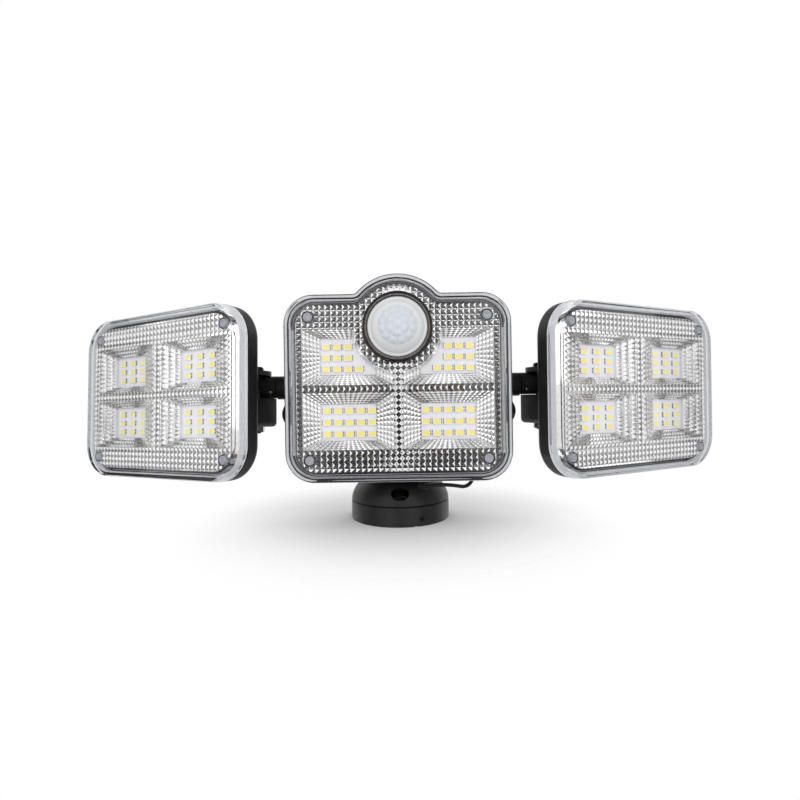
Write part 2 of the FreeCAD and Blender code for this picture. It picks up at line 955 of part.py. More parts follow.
def arm_lower(side):
    """The lower half, ending in the flanged barrel that turns on the hinge bolt."""
    half = arm_half(side, False)
    top = ear_boss_bottom - part_gap
    low = barrel_bottom()
    barrel = rod(barrel_radius, V(side * hinge_x, 0, low), Z, top - low)
    flange_start = V(side * hinge_x, 0, top - barrel_flange_thick)
    flange = rod(barrel_flange_radius, flange_start, Z, barrel_flange_thick)
    solid = union([half, barrel, flange])
    bore = rod(hinge_bolt_radius + running_clearance, V(side * hinge_x, 0, low - 1), Z, top - low + 2)
    solid = solid.cut(bore)
    below = block(-100, 100, -20, 20, low - 20, low)
    return place_arm(solid.cut(below), side)


def swivel_pin(side):
    """The hollow pin that an arm turns on. Its inner end has a groove for a ring."""
    length = swivel_pin_end - swivel_pin_start
    start = V(side * swivel_pin_start, 0, arm_axis_z)
    pin = rod(swivel_pin_radius, start, X * side, length)
    groove_start = V(side * (swivel_shoulder - seat_gap - ring_thick), 0, arm_axis_z)
    groove = rod(swivel_pin_radius + 1, groove_start, X * side, ring_thick)
    groove = groove.cut(rod(swivel_pin_radius - ring_groove, groove_start - X * side, X * side, 5))
    bore = rod(swivel_pin_bore, start - X * side, X * side, length + 2)
    return place_arm(pin.cut(groove).cut(bore), side)


def retaining_ring(side):
    """The open spring ring in the swivel pin's groove."""
    gap = ring_side_gap
    start = V(side * (swivel_shoulder - seat_gap - ring_thick + gap), 0, arm_axis_z)
    ring = rod(ring_radius, start, X * side, ring_thick - 2 * gap)
    ring = ring.cut(rod(swivel_pin_radius - ring_groove + gap, start - X * side, X * side, 5))
    mouth = block(-100, 100, -ring_mouth / 2, ring_mouth / 2, arm_axis_z, arm_axis_z + 10)
    return place_arm(ring.cut(mouth), side)


def arm_screws(side):
    screws = []
    seat = arm_axis_z - arm_screw_seat
    for sy in (-1, 1):
        at = V(side * arm_screw_x, sy * arm_screw_y, seat)
        shank = rod(arm_screw_radius, at, Z, arm_screw_length)
        head = rod(arm_screw_head, at - Z * arm_screw_head_thick, Z, arm_screw_head_thick)
        screws.append(shank.fuse(head))
    return place_arm(group([s.removeSplitter() for s in screws]), side)


# A side head, in its own frame

def place_side(solid, side):
    """Moves a side head's solid from its own frame to where it hangs on its arm."""
    fold = left_fold if side < 0 else right_fold
    hinge = V(-side * hinge_local_x, hinge_local_y, 0)
    solid.translate(-hinge)
    solid.rotate(V(0, 0, 0), Z, side * fold)
    solid.translate(V(side * hinge_x, 0, side_z))
    return place_arm(solid, side)


def hinge_at(side, z):
    """A point on the hinge's axis at height z of the row, in the side head's frame."""
    return V(-side * hinge_local_x, hinge_local_y, z - side_z)


def ear_bottom():
    return arm_axis_z + arm_radius + ear_lift


def hinge_ear(side):
    """The plate over the arm, with its boss and the gusset behind the boss."""
    low = ear_bottom()
    at = hinge_at(side, low)
    reach = hinge_local_y - casing_back + casing_wall / 2
    plate = rod(ear_radius, at, Z, ear_thick)
    root = block(at.x - ear_radius, at.x + ear_radius, at.y - reach, at.y, at.z, at.z + ear_thick)
    boss_low = hinge_at(side, ear_boss_bottom)
    boss = rod(ear_boss_radius, boss_low, Z, low - ear_boss_bottom + 1)
    cone_low = ear_boss_bottom + gusset_lift
    cone = Part.makeCone(ear_boss_radius, ear_radius, low - cone_low, hinge_at(side, cone_low), Z)
    cone = cone.common(block(-100, 100, at.y + gusset_behind, at.y + 50, -50, 50))
    return [plate, root, boss, cone]


def hinge_box_span(side, inset):
    """The box under the arm as two corners, moved in by inset."""
    at = hinge_at(side, hinge_box_bottom)
    inner = at.x - side * (hinge_box_in - inset)
    outer = at.x + side * (hinge_box_out - inset)
    low_x, high_x = min(inner, outer), max(inner, outer)
    front = casing_back - casing_wall / 2 - (1.5 if inset else 0)
    back = at.y + hinge_box_behind - inset
    top = hinge_box_top - side_z - inset
    return low_x, high_x, front, back, at.z + inset, top


def hinge_box(side):
    solid = block(*hinge_box_span(side, 0))
    back = hinge_box_span(side, 0)[3]
    low = hinge_box_span(side, 0)[4]
    rounds = []
    for edge in solid.Edges:
        box = edge.BoundBox
        upright = box.ZLength > 1 and abs(box.YMin - back) < 1e-6
        under = box.ZMax < low + 1e-6 and box.YMax > casing_back + 1
        if upright or under:
            rounds.append(edge)
    return solid.makeFillet(hinge_box_round, rounds)


def side_housing(side):
    shell = tray(side_outline, side_posts())
    shell = union([shell, hinge_box(side)] + hinge_ear(side))
    hollow = block(*hinge_box_span(side, hinge_box_wall))
    at = hinge_at(side, hinge_box_bottom)
    boss = rod(hinge_bolt_boss, at, Z, hinge_box_top - hinge_box_bottom)
    hollow = hollow.cut(boss)
    bolt_hole = rod(hinge_bolt_radius + screw_clearance, at - Z * 5, Z, 40)
    return place_side(shell.cut(hollow).cut(bolt_hole).removeSplitter(), side)


def hinge_bolt(side):
    seat = ear_bottom() + ear_thick
    tail = hinge_box_bottom - hinge_nut_thick - hinge_bolt_tail
    shank = rod(hinge_bolt_radius, hinge_at(side, tail), Z, seat - tail)
    shank = shank.makeFillet(0.4, [e for e in shank.Edges if e.BoundBox.ZMax < tail - side_z + 1e-6])
    head = pan_head(hinge_bolt_head, hinge_bolt_head_thick, hinge_at(side, seat), Z)
    return place_side(shank.fuse(head).removeSplitter(), side)


def hinge_nut(side):
    nut = hexagon(hinge_nut_flats, hinge_nut_thick, hinge_at(side, hinge_box_bottom - hinge_nut_thick), Z)
    hole = rod(hinge_bolt_radius + screw_clearance, hinge_at(side, hinge_box_bottom - 20), Z, 30)
    return place_side(nut.cut(hole), side)


# The base, dome and neck

def radial(angle, radius, z):
    """A point at an angle from the front, turning to the right."""
    a = math.radians(angle)
    return V(radius * math.sin(a), -radius * math.cos(a), z)


def base_screw_angles():
    return [base_screw_angle + 120 * i for i in range(3)]


def base_inner_radius():
    return base_radius - base_wall


def base_ring():
    ring = rod(base_radius, V(0, 0, 0), Z, base_height)
    top = [e for e in ring.Edges if e.BoundBox.ZMin > base_height - 1e-6]
    ring = ring.makeFillet(base_edge, top)
    inside = rod(base_inner_radius(), V(0, 0, -1), Z, base_height - deck_thick + 1)
    cuts = [inside, rod(stud_radius + screw_clearance, V(0, 0, 0), Z, 20)]
    cuts.append(rod(cable_hole_radius, V(0, cable_hole_y, 0), Z, 20))
    for angle in base_screw_angles():
        inner = radial(angle, base_inner_radius() - 1, base_screw_z)
        cuts.append(rod(base_screw_radius + screw_clearance, inner, radial(angle, 1, 0), 5))
    notch = block(-notch_width / 2, notch_width / 2,
                  -base_radius - 1, -base_radius + notch_depth, -1, notch_height)
    notch.rotate(V(0, 0, 0), Z, notch_angle)
    cuts.append(notch)
    return ring.cut(group(cuts))


def wall_plate():
    """The plate that is screwed to the wall. The base ring fits over it."""
    outer = base_inner_radius() - part_gap
    plate = rod(outer, V(0, 0, 0), Z, plate_thick)
    lugs = []
    cuts = []
    for angle in base_screw_angles():
        lug = block(-base_lug_width / 2, base_lug_width / 2, -outer - 2, -outer + base_lug_depth,
                    0, base_lug_height)
        lug.rotate(V(0, 0, 0), Z, angle)
        lugs.append(lug.common(rod(outer, V(0, 0, 0), Z, base_lug_height)))
        inner = radial(angle, outer - base_lug_depth - 1, base_screw_z)
        cuts.append(rod(base_screw_radius + screw_clearance, inner, radial(angle, 1, 0), 10))
    reach = (slot_length - slot_width) / 2
    for sx in (-1, 1):
        centre = sx * slot_spacing / 2
        for end in (-reach, reach):
            cuts.append(rod(slot_width / 2, V(centre + end, 0, -1), Z, plate_thick + 2))
        cuts.append(block(centre - reach, centre + reach,
                          -slot_width / 2, slot_width / 2, -1, plate_thick + 1))
    cuts.append(rod(cable_hole_radius, V(0, cable_hole_y, -1), Z, 10))
    return union([plate] + lugs).cut(union(cuts)).removeSplitter()


def base_screws():
    """Grub screws with a hexagon socket that hold the ring on the plate."""
    screws = []
    for angle in base_screw_angles():
        outward = radial(angle, 1, 0)
        tip = base_radius - base_screw_sunk
        start = radial(angle, tip - base_screw_length, base_screw_z)
        shank = rod(base_screw_radius, start, outward, base_screw_length)
        floor = radial(angle, tip - base_socket_depth, base_screw_z)
        socket = hexagon(base_screw_radius, base_socket_depth + 1, floor, outward)
        screws.append(shank.cut(socket))
    return group(screws)


def stud_top():
    return dome_bottom() + dome_height - dome_wall - stud_top_gap


def dome_bottom():
    return base_height + part_gap


def pivot_stud():
    """The fixed stud that the dome turns on, with a groove for the lock screw."""
    head_top = base_height - deck_thick
    stud = rod(stud_radius, V(0, 0, head_top), Z, stud_top() - head_top)
    head = rod(stud_head_radius, V(0, 0, head_top - stud_head_thick), Z, stud_head_thick)
    groove_half = lock_screw_radius + part_gap
    groove = rod(stud_radius + 1, V(0, 0, port_z - groove_half), Z, 2 * groove_half)
    groove = groove.cut(rod(stud_radius - stud_groove, V(0, 0, 0), Z, 30))
    return stud.fuse(head).cut(groove).removeSplitter()


def stud_clip():
    """The push on washer that holds the stud down on the deck."""
    ring = rod(clip_radius, V(0, 0, base_height), Z, clip_thick)
    return ring.cut(rod(stud_radius + clip_grip_gap, V(0, 0, 0), Z, 20))


def dome_profile(wall):
    """The dome's half section, moved in by the wall. Its flank is one round stretch."""
    low = dome_bottom()
    top = low + dome_height - wall
    foot = V(dome_radius - wall, 0, low + dome_rim)
    middle = V(dome_mid_radius - wall, 0, low + dome_mid_height - wall / 4)
    shoulder = V(dome_shoulder_radius - wall, 0, low + dome_shoulder_height - wall)
    edges = [
        Part.makeLine(V(0, 0, low), V(foot.x, 0, low)),
        Part.makeLine(V(foot.x, 0, low), foot),
        Part.Arc(foot, middle, shoulder).toShape(),
        Part.makeLine(shoulder, V(dome_top_radius - wall, 0, top)),
        Part.makeLine(V(dome_top_radius - wall, 0, top), V(0, 0, top)),
        Part.makeLine(V(0, 0, top), V(0, 0, low)),
    ]
    return Part.Face(Part.Wire(edges)).revolve(V(0, 0, 0), Z, 360)


def neck_ear_inner():
    return lug_half_width + ear_gap


def neck_ear_outer():
    return neck_ear_inner() + neck_ear_thick


def turret():
    """The dome with its central boss, and the two ears that carry the main head."""
    low = dome_bottom()
    shell = dome_profile(0).cut(dome_profile(dome_wall))
    boss_low = low + dome_boss_lift
    boss = rod(dome_boss_radius, V(0, 0, boss_low), Z, dome_height - dome_boss_lift - 0.5)
    solids = [shell, boss]
    top = low + dome_height
    for sx in (-1, 1):
        x0, x1 = sorted((sx * neck_ear_inner(), sx * neck_ear_outer()))
        solids.append(block(x0, x1, -lug_radius, lug_radius, top - 1, neck_z))
        solids.append(rod(lug_radius, V(x0, 0, neck_z), X, neck_ear_thick))
    cuts = [
        rod(tilt_bolt_radius + screw_clearance, V(-20, 0, neck_z), X, 40),
        rod(stud_radius + running_clearance, V(0, 0, 0), Z, stud_top() + stud_top_gap),
        rod(lock_screw_radius + screw_clearance, V(0, 0, port_z), -Y, dome_boss_radius + 1),
        port_shape(),
    ]
    cuts.append(grommet_seat(*dome_end()))
    return union(solids).cut(group(cuts)).removeSplitter()


def port_shape():
    """The oval opening in the dome's front that the lock screw is reached through."""
    ellipse = Part.Ellipse(V(0, 0, 0), port_half_width, port_half_height).toShape()
    solid = Part.Face(Part.Wire([ellipse])).extrude(V(0, 0, 15))
    solid.rotate(V(0, 0, 0), X, 90)
    solid.translate(V(0, -dome_boss_radius - lock_screw_sunk, port_z))
    return solid


def lock_screw():
    """The grub screw that stops the dome turning, through the oval opening."""
    tip = stud_radius - stud_groove + part_gap / 2
    screw = rod(lock_screw_radius, V(0, -tip, port_z), -Y, lock_screw_length)
    floor = V(0, -tip - lock_screw_length + lock_socket_depth, port_z)
    socket = hexagon(lock_screw_radius, lock_socket_depth + 1, floor, -Y)
    return screw.cut(socket)


def tilt_bolt():
    seat = neck_ear_outer()
    tail = tilt_nut_thick + tilt_bolt_tail
    shank = rod(tilt_bolt_radius, V(-seat, 0, neck_z), X, 2 * seat + tail)
    head = pan_head(tilt_head_radius, tilt_head_thick, V(-seat, 0, neck_z), -X)
    return shank.fuse(head).removeSplitter()


def tilt_nut():
    nut = hexagon(tilt_nut_flats, tilt_nut_thick, V(neck_ear_outer(), 0, neck_z), X)
    return nut.cut(rod(tilt_bolt_radius + screw_clearance, V(0, 0, neck_z), X, 40))


def save_base():
    save("wall_plate", wall_plate())
    save("base_ring", base_ring())
    save("base_screws", base_screws())
    save("pivot_stud", pivot_stud())
    save("stud_clip", stud_clip())
    save("turret", turret())
    save("lock_screw", lock_screw())
    save("tilt_bolt", tilt_bolt())
    save("tilt_nut", tilt_nut())
    save("dome_grommet", grommet(dome_end()))


def save_main_head():
    save("main_housing", main_housing())
    save("rear_cover", rear_cover())
    save("rear_seal", rear_seal())
    save("rear_cover_screws", rear_cover_screws())
    save("main_seal", place_main(seal(main_outline)))
    save("main_cover", main_cover())
    save("main_cover_screws", place_main(cover_screws(main_posts())))
    save("main_reflector", main_reflector())
    save("main_led_board", place_main(board(main_outline, main_posts())))
    save("main_leds", place_main(group([led(x, z) for x, z in main_led_places()])))
    save("sensor_collar", sensor_collar())
    save("sensor_lens", sensor_lens())
    save("sensor_element", sensor_element())
    save("control_board", control_board())
    save("battery_cell", battery_cell())
    save("power_switch", power_switch())
    save("power_button", power_button())
    save("supply_gland", grommet(supply_end()))
    save("supply_lead", tube("supply_lead", supply_points()))
    save("lead_grommets", group([grommet(e) for name, side in SIDES for e in grommet_ends(side)]))


def save_side(name, side):
    save(name + "_lead", tube(name + "_lead", lead_points(side)))
    save(name + "_arm_upper", arm_upper(side))
    save(name + "_arm_lower", arm_lower(side))
    save(name + "_swivel_pin", swivel_pin(side))
    save(name + "_retaining_ring", retaining_ring(side))
    save(name + "_arm_screws", arm_screws(side))
    save(name + "_housing", side_housing(side))
    save(name + "_hinge_bolt", hinge_bolt(side))
    save(name + "_hinge_nut", hinge_nut(side))
    save(name + "_seal", place_side(seal(side_outline), side))
    save(name + "_cover", place_side(cover(side_outline, side_posts()), side))
    save(name + "_cover_screws", place_side(cover_screws(side_posts()), side))
    save(name + "_reflector", place_side(reflector(side_outline, side_wells, side_posts(), []), side))
    save(name + "_led_board", place_side(board(side_outline, side_posts()), side))
    save(name + "_leds", place_side(group([led(x, z) for x, z in side_led_places(side)]), side))


os.makedirs("parts", exist_ok=True)
save_base()
save_main_head()
for side_name, side_sign in SIDES:
    save_side(side_name, side_sign)
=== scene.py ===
import json
import math

import bmesh
import bpy
from mathutils import Matrix, Vector
from mathutils.geometry import tessellate_polygon


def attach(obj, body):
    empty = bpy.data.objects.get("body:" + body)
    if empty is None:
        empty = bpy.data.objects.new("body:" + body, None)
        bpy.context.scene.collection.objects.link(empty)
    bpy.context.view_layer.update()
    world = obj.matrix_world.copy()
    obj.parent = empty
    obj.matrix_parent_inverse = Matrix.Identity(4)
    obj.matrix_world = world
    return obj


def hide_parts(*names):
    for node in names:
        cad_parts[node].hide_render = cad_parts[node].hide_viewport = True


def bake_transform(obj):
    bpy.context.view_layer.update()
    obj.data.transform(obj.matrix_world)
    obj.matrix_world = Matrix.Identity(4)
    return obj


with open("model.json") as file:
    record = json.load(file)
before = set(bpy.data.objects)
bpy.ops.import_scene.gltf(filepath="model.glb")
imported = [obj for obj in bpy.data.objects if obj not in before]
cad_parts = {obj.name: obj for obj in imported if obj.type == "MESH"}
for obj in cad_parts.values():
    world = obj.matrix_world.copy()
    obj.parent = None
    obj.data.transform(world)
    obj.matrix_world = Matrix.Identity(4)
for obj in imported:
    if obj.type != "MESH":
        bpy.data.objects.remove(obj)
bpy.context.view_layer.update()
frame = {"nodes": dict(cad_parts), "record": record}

# Lengths in this script are millimetres until a piece is made, which turns them into metres.
# A head's own frame has X to the right, depth into the head and Z up, from the middle of its front face.
MM = 0.001

# Camera, at the photograph's place
camera_x = 0.6
camera_y = -213.0
camera_z = 53.3
camera_lens = 20.57
camera_roll = -0.9

# Main head
main_width = 91.0
main_height = 76.0
head_corner = 12.0
main_front_y = -30.2
head_z = 58.3
sensor_z = 24.2
bump_radius = 21.8
bump_fillet = 3.0
main_post_x = 36.2
main_post_z = 29.0

# Side heads and how they hang on their arms
side_width = 97.5
side_height = 73.5
side_corner = 15.0
side_z = 56.6
side_post_x = 40.3
side_post_z = 27.7
arm_axis_z = 59.8
hinge_x = 65.5
hinge_local_x = 32.8
hinge_local_y = 29.2
folds = {"left": 25.8, "right": 24.8}
leans = {"left": -2.8, "right": 0.0}
side_signs = {"left": -1, "right": 1}

# Clear covers
cover_depth = 5.8
cover_wall = 2.0
cover_face = 2.0
cover_bevel = 1.4
inner_round = 0.7
flange_step = 0.5
flange_thick = 1.2
flange_bevel = (0.15, 0.2)
cover_widen = 0.4
post_radius = 2.3
post_end = 7.8
pilot_radius = 1.05
pilot_start = 3.0
pilot_chamfer = 0.6
pocket_radius = 1.85
pocket_floor = 1.6
# The dished floor of a post's pocket: shares of the pocket's radius, and the depth behind pocket_floor
pocket_dish = ((1.0, 0.5), (0.9, 0.15), (0.7, 0.0), (0.4, 0.12), (0.15, 0.3))

# Reflectors
reflector_inset = 4.15
border_y = 3.9
border_thick = 0.3
border_inset = 3.05
border_lap = 0.3
strip_insets = (2.3, 3.85)
strip_low = -27.0
strip_high = 24.0
strip_edge = 0.15
strip_drop = 0.3
reflector_y = 3.0
reflector_back = 6.2
plate_thick = 0.8
stud_pitch = 2.367
stud_heights = {"main": 0.72, "left": 0.58, "right": 0.58}
stud_shifts = {"main": -0.2, "left": 0.0, "right": 0.0}
# Where the cutters of the stud sheet start, in front of its studs, and end, behind the plate
cutter_front = reflector_y - 2
cutter_back = reflector_y + plate_thick + 1
hole_gap = 0.3
well_wall = 0.5
wall_stud_heights = {"main": 0.18, "left": 0.25, "right": 0.25}
well_rows = {"main": 5, "left": 3, "right": 3}
tread_tilt = 3.0
arc_columns = 12
main_rims_x = (1.9, 38.8)
main_windows_x = (9.1, 32.1)
main_low_rim = (-25.0, -1.7)
main_low_window = (-21.4, -6.3)
main_high_rim = (1.3, 23.9)
main_high_window = (5.6, 20.6)
arc_rim = 17.4
arc_window = 18.6
side_rims_x = (1.9, 42.3)
side_windows_x = (11.4, 33.2)
side_rims_z = (1.9, 23.3)
side_windows_z = (5.0, 18.9)

# Light emitting diodes
board_y = 6.3
led_width = 3.5
led_height = 2.8
led_thick = 0.8
# Loops round a diode from the board to its window's edge, and on to the window's floor: inset, depth behind
# the diode's top, and corner radius
package_loops = ((0, led_thick, 0.1), (0, 0.1, 0.1), (0.08, 0, 0.1), (0.36, 0, 0.25), (0.42, 0.12, 0.25))
window_loops = ((0.42, 0.12, 0.25), (0.8, 0.07, 0.25), (1.2, 0.05, 0.1))
# A terminal: how far it sticks out and up, how far it reaches in, its middle's place and half its height
terminal_out = 0.25
terminal_up = 0.35
terminal_in = 0.02
terminal_z = 0.62
terminal_half = 0.38

# Motion sensor
collar_radius = 14.0
collar_proud = 2.5
collar_bead = 0.45
# The collar's band, brown-grey with painted reflection, and its lip: how far outside the lens's flange, and
# depth behind the collar's front
collar_band = ((1.15, 0.6), (0.95, 0.5), (0.45, 0.15))
collar_lip = ((0.25, 0.1), (0.1, 0.4))
part_gap = 0.1
lens_flange_radius = 11.95
lens_flange_thick = 1.0
lens_flange_round = 0.15
lens_fillet = (0.2, 0.05)
lens_wall = 0.9
lens_radius = 10.8
lens_height = 7.5
lens_face = -1.8
facet_relief = 0.5
facet_bands = ((0.0, 2.2, 1), (2.2, 4.9, 6), (4.9, 7.7, 12))
# Radii where the lens's painted shade in the middle gives way to its lighter rim
lens_shade_edge = (6.8, 8.4)

# Steps in each rounded corner of an outline, and how many of them are bright at a hinge side's two corners
arc_steps = 14
hinge_side_steps = 6

# Places in a piece's list of materials: a cover's, a reflector's, the diodes' and the collar's
CLEAR, FROSTED, BLACK, RIM_REFLECTION = range(4)
MIRROR, EDGE, SATIN = range(3)
PACKAGE, PHOSPHOR, TERMINAL = range(3)
GLOSS, PAINTED_REFLECTION = range(2)


# Small helpers

def head_matrix(head):
    """From a head's own frame, with depth along Y, to the row's frame. In millimetres."""
    if head == "main":
        return Matrix.Translation((0, main_front_y, head_z))
    side = side_signs[head]
    lean = (Matrix.Translation((0, 0, arm_axis_z))
            @ Matrix.Rotation(math.radians(leans[head]), 4, "X")
            @ Matrix.Translation((0, 0, -arm_axis_z)))
    fold = (Matrix.Translation((side * hinge_x, 0, side_z))
            @ Matrix.Rotation(math.radians(side * folds[head]), 4, "Z")
            @ Matrix.Translation((side * hinge_local_x, -hinge_local_y, 0)))
    return lean @ fold


def arc(cx, cz, r, start, end, steps):
    """Points on an arc, angles in degrees from +X, both ends included."""
    points = []
    for i in range(steps + 1):
        a = math.radians(start + (end - start) * i / steps)
        points.append((cx + r * math.cos(a), cz + r * math.sin(a)))
    return points


def side_outline(inset):
    steps = arc_steps
    w = side_width / 2 - inset
    h = side_height / 2 - inset
    c = side_corner - inset
    return (arc(w - c, -h + c, c, -90, 0, steps) + arc(w - c, h - c, c, 0, 90, steps)
            + arc(-w + c, h - c, c, 90, 180, steps) + arc(-w + c, -h + c, c, 180, 270, steps))


def main_outline(inset, widen=0.0):
    """A rounded rectangle with a round bump for the sensor."""
    steps = arc_steps
    w = main_width / 2 - inset + widen
    h = main_height / 2 - inset
    c = head_corner - inset
    rise = main_height / 2 + bump_fillet - sensor_z
    run = math.sqrt((bump_radius + bump_fillet) ** 2 - rise ** 2)
    slope = math.degrees(math.atan2(rise, run))
    hollow = bump_fillet + inset
    top = sensor_z + rise
    return (arc(w - c, -h + c, c, -90, 0, steps) + arc(w - c, h - c, c, 0, 90, steps)
            + arc(run, top, hollow, 270, 180 + slope, steps)
            + arc(0, sensor_z, bump_radius - inset, slope, 180 - slope, 4 * steps)
            + arc(-run, top, hollow, -slope, -90, steps)
            + arc(-w + c, h - c, c, 90, 180, steps) + arc(-w + c, -h + c, c, 180, 270, steps))


def outline(head, inset):
    return main_outline(inset) if head == "main" else side_outline(inset)


def cover_outline(head, inset):
    return main_outline(inset, cover_widen) if head == "main" else side_outline(inset)


def circle(cx, cz, r, steps=32):
    return arc(cx, cz, r, 0, 360, steps)[:-1]


def at_depth(points, y):
    return [(x, y, z) for x, z in points]


def lerp(a, b, t):
    return tuple(p + (q - p) * t for p, q in zip(a, b))


class Shape:
    """Points and faces in millimetres. kind is the face's material."""

    def __init__(self):
        self.points = []
        self.faces = []
        self.kinds = []

    def add(self, points, faces, kind=0):
        base = len(self.points)
        self.points += [tuple(p) for p in points]
        self.faces += [[base + i for i in f] for f in faces]
        self.kinds += [kind] * len(faces)

    def loft(self, rings, kind=0, other=()):
        """Quads between rings that have as many points each. Those in other are of kind 0."""
        n = len(rings[0])
        base = len(self.points)
        for ring in rings:
            self.points += [tuple(p) for p in ring]
        for k in range(len(rings) - 1):
            for i in range(n):
                j = (i + 1) % n
                a = base + k * n
                b = a + n
                self.faces.append([a + i, a + j, b + j, b + i])
                self.kinds.append(0 if i in other else kind)

    def cap(self, outer, holes, y, kind=0):
        """A flat face at depth y with holes in it."""
        loops = [[Vector((x, z, 0)) for x, z in loop] for loop in [outer] + list(holes)]
        flat = [(p.x, y, p.y) for loop in loops for p in loop]
        self.add(flat, [list(t) for t in tessellate_polygon(loops)], kind)

    def box(self, low, high, kind=0):
        (x0, y0, z0), (x1, y1, z1) = low, high
        points = [(x, y, z) for x in (x0, x1) for y in (y0, y1) for z in (z0, z1)]
        faces = [(0, 1, 3, 2), (4, 6, 7, 5), (0, 4, 5, 1), (2, 3, 7, 6), (0, 2, 6, 4), (1, 5, 7, 3)]
        self.add(points, faces, kind)


def mesh_of(name, shape, matrix=None, crease=32):
    """A mesh in metres. Points that coincide are joined and faces turned outwards."""
    mesh = bpy.data.meshes.new(name)
    mesh.from_pydata(shape.points, [], shape.faces)
    mesh.polygons.foreach_set("material_index", shape.kinds)
    work = bmesh.new()
    work.from_mesh(mesh)
    bmesh.ops.remove_doubles(work, verts=work.verts, dist=1e-4)
    bmesh.ops.recalc_face_normals(work, faces=work.faces)
    work.to_mesh(mesh)
    work.free()
    if matrix is not None:
        mesh.transform(matrix)
    mesh.transform(Matrix.Scale(MM, 4))
    mesh.shade_smooth()
    mesh.set_sharp_from_angle(angle=math.radians(crease))
    return mesh


def place_object(name, data):
    obj = bpy.data.objects.new(name, data)
    bpy.context.scene.collection.objects.link(obj)
    return obj


def new_piece(name, mesh, materials, body, stands_for):
    obj = place_object(name, mesh)
    for material in materials:
        mesh.materials.append(material)
    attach(obj, body)
    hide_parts(*stands_for)
    return obj


def head_body(head):
    return head + "_head"


# Materials

def new_material(name):
    material = bpy.data.materials.new(name)
    material.use_nodes = True
    nodes = material.node_tree.nodes
    nodes.clear()
    out = nodes.new("ShaderNodeOutputMaterial")
    shader = nodes.new("ShaderNodeBsdfPrincipled")
    material.node_tree.links.new(shader.outputs[0], out.inputs[0])
    return material, shader


def link(material, a, b):
    material.node_tree.links.new(a, b)


def add_noise(material, scale):
    nodes = material.node_tree.nodes
    where = nodes.new("ShaderNodeTexCoord")
    noise = nodes.new("ShaderNodeTexNoise")
    noise.inputs["Scale"].default_value = scale
    noise.inputs["Detail"].default_value = 3.0
    link(material, where.outputs["Object"], noise.inputs["Vector"])
    return noise


# The share of a noise's range that is used, and the bumps: how much finer than the colours, and how deep
noise_low = 0.3
noise_high = 0.7
bump_fineness = 6
bump_depth = 0.02


def vary(material, shader, socket, noise, low, high):
    """The noise moves a number of the shader between low and high."""
    spread = material.node_tree.nodes.new("ShaderNodeMapRange")
    spread.inputs["From Min"].default_value = noise_low
    spread.inputs["From Max"].default_value = noise_high
    spread.inputs["To Min"].default_value = low
    spread.inputs["To Max"].default_value = high
    link(material, noise.outputs["Fac"], spread.inputs["Value"])
    link(material, spread.outputs["Result"], shader.inputs[socket])


def tint(material, shader, noise, dark, light):
    ramp = material.node_tree.nodes.new("ShaderNodeValToRGB")
    ramp.color_ramp.elements[0].position = noise_low
    ramp.color_ramp.elements[1].position = noise_high
    ramp.color_ramp.elements[0].color = (*dark, 1)
    ramp.color_ramp.elements[1].color = (*light, 1)
    link(material, noise.outputs["Fac"], ramp.inputs["Fac"])
    link(material, ramp.outputs["Color"], shader.inputs["Base Color"])


def roughen(material, shader, noise, strength):
    bump = material.node_tree.nodes.new("ShaderNodeBump")
    bump.inputs["Strength"].default_value = strength
    bump.inputs["Distance"].default_value = bump_depth * MM
    link(material, noise.outputs["Fac"], bump.inputs["Height"])
    link(material, bump.outputs["Normal"], shader.inputs["Normal"])


def plain(name, dark, light, rough, scale, metallic=0.0, bump=0.0):
    """A shader whose colour and roughness vary a little with one noise. A finer one makes its bumps."""
    material, shader = new_material(name)
    noise = add_noise(material, scale)
    tint(material, shader, noise, dark, light)
    vary(material, shader, "Roughness", noise, *rough)
    shader.inputs["Metallic"].default_value = metallic
    if bump:
        roughen(material, shader, add_noise(material, scale * bump_fineness), bump)
    return material


def larger(nodes, links, a, b):
    node = nodes.new("ShaderNodeMath")
    node.operation = "MAXIMUM"
    links.new(a, node.inputs[0])
    links.new(b, node.inputs[1])
    return node.outputs[0]


def blend_colour(nodes, links, factor, a, b):
    """Mixes two colours, each a constant or another node's output."""
    node = nodes.new("ShaderNodeMix")
    node.data_type = "RGBA"
    colour_a, colour_b, mixed = node.inputs[6], node.inputs[7], node.outputs[2]
    links.new(factor, node.inputs["Factor"])
    for value, socket in ((a, colour_a), (b, colour_b)):
        if isinstance(value, tuple):
            socket.default_value = value
        else:
            links.new(value, socket)
    return mixed


def ramp_value(nodes, links, socket, low, high):
    node = nodes.new("ShaderNodeMapRange")
    node.interpolation_type = "SMOOTHSTEP"
    node.inputs["From Min"].default_value = low
    node.inputs["From Max"].default_value = high
    links.new(socket, node.inputs["Value"])
    return node.outputs["Result"]


def clear_plastic():
    """Clear moulded plastic that bends what is seen through it and lets the lamps in."""
    material, shader = new_material("clear_plastic")
    shader.inputs["Base Color"].default_value = (0.985, 0.99, 1.0, 1)
    shader.inputs["Transmission Weight"].default_value = 1.0
    shader.inputs["IOR"].default_value = 1.4
    noise = add_noise(material, 900)
    vary(material, shader, "Roughness", noise, 0.0, 0.03)
    nodes = material.node_tree.nodes
    rays = nodes.new("ShaderNodeLightPath")
    through = nodes.new("ShaderNodeBsdfTransparent")
    through.inputs["Color"].default_value = (0.99, 0.99, 1.0, 1)
    links = material.node_tree.links
    either = larger(nodes, links, rays.outputs["Is Shadow Ray"], rays.outputs["Is Diffuse Ray"])
    mix = nodes.new("ShaderNodeMixShader")
    link(material, either, mix.inputs["Fac"])
    link(material, shader.outputs[0], mix.inputs[1])
    link(material, through.outputs[0], mix.inputs[2])
    out = next(n for n in nodes if n.type == "OUTPUT_MATERIAL")
    link(material, mix.outputs[0], out.inputs[0])
    return material


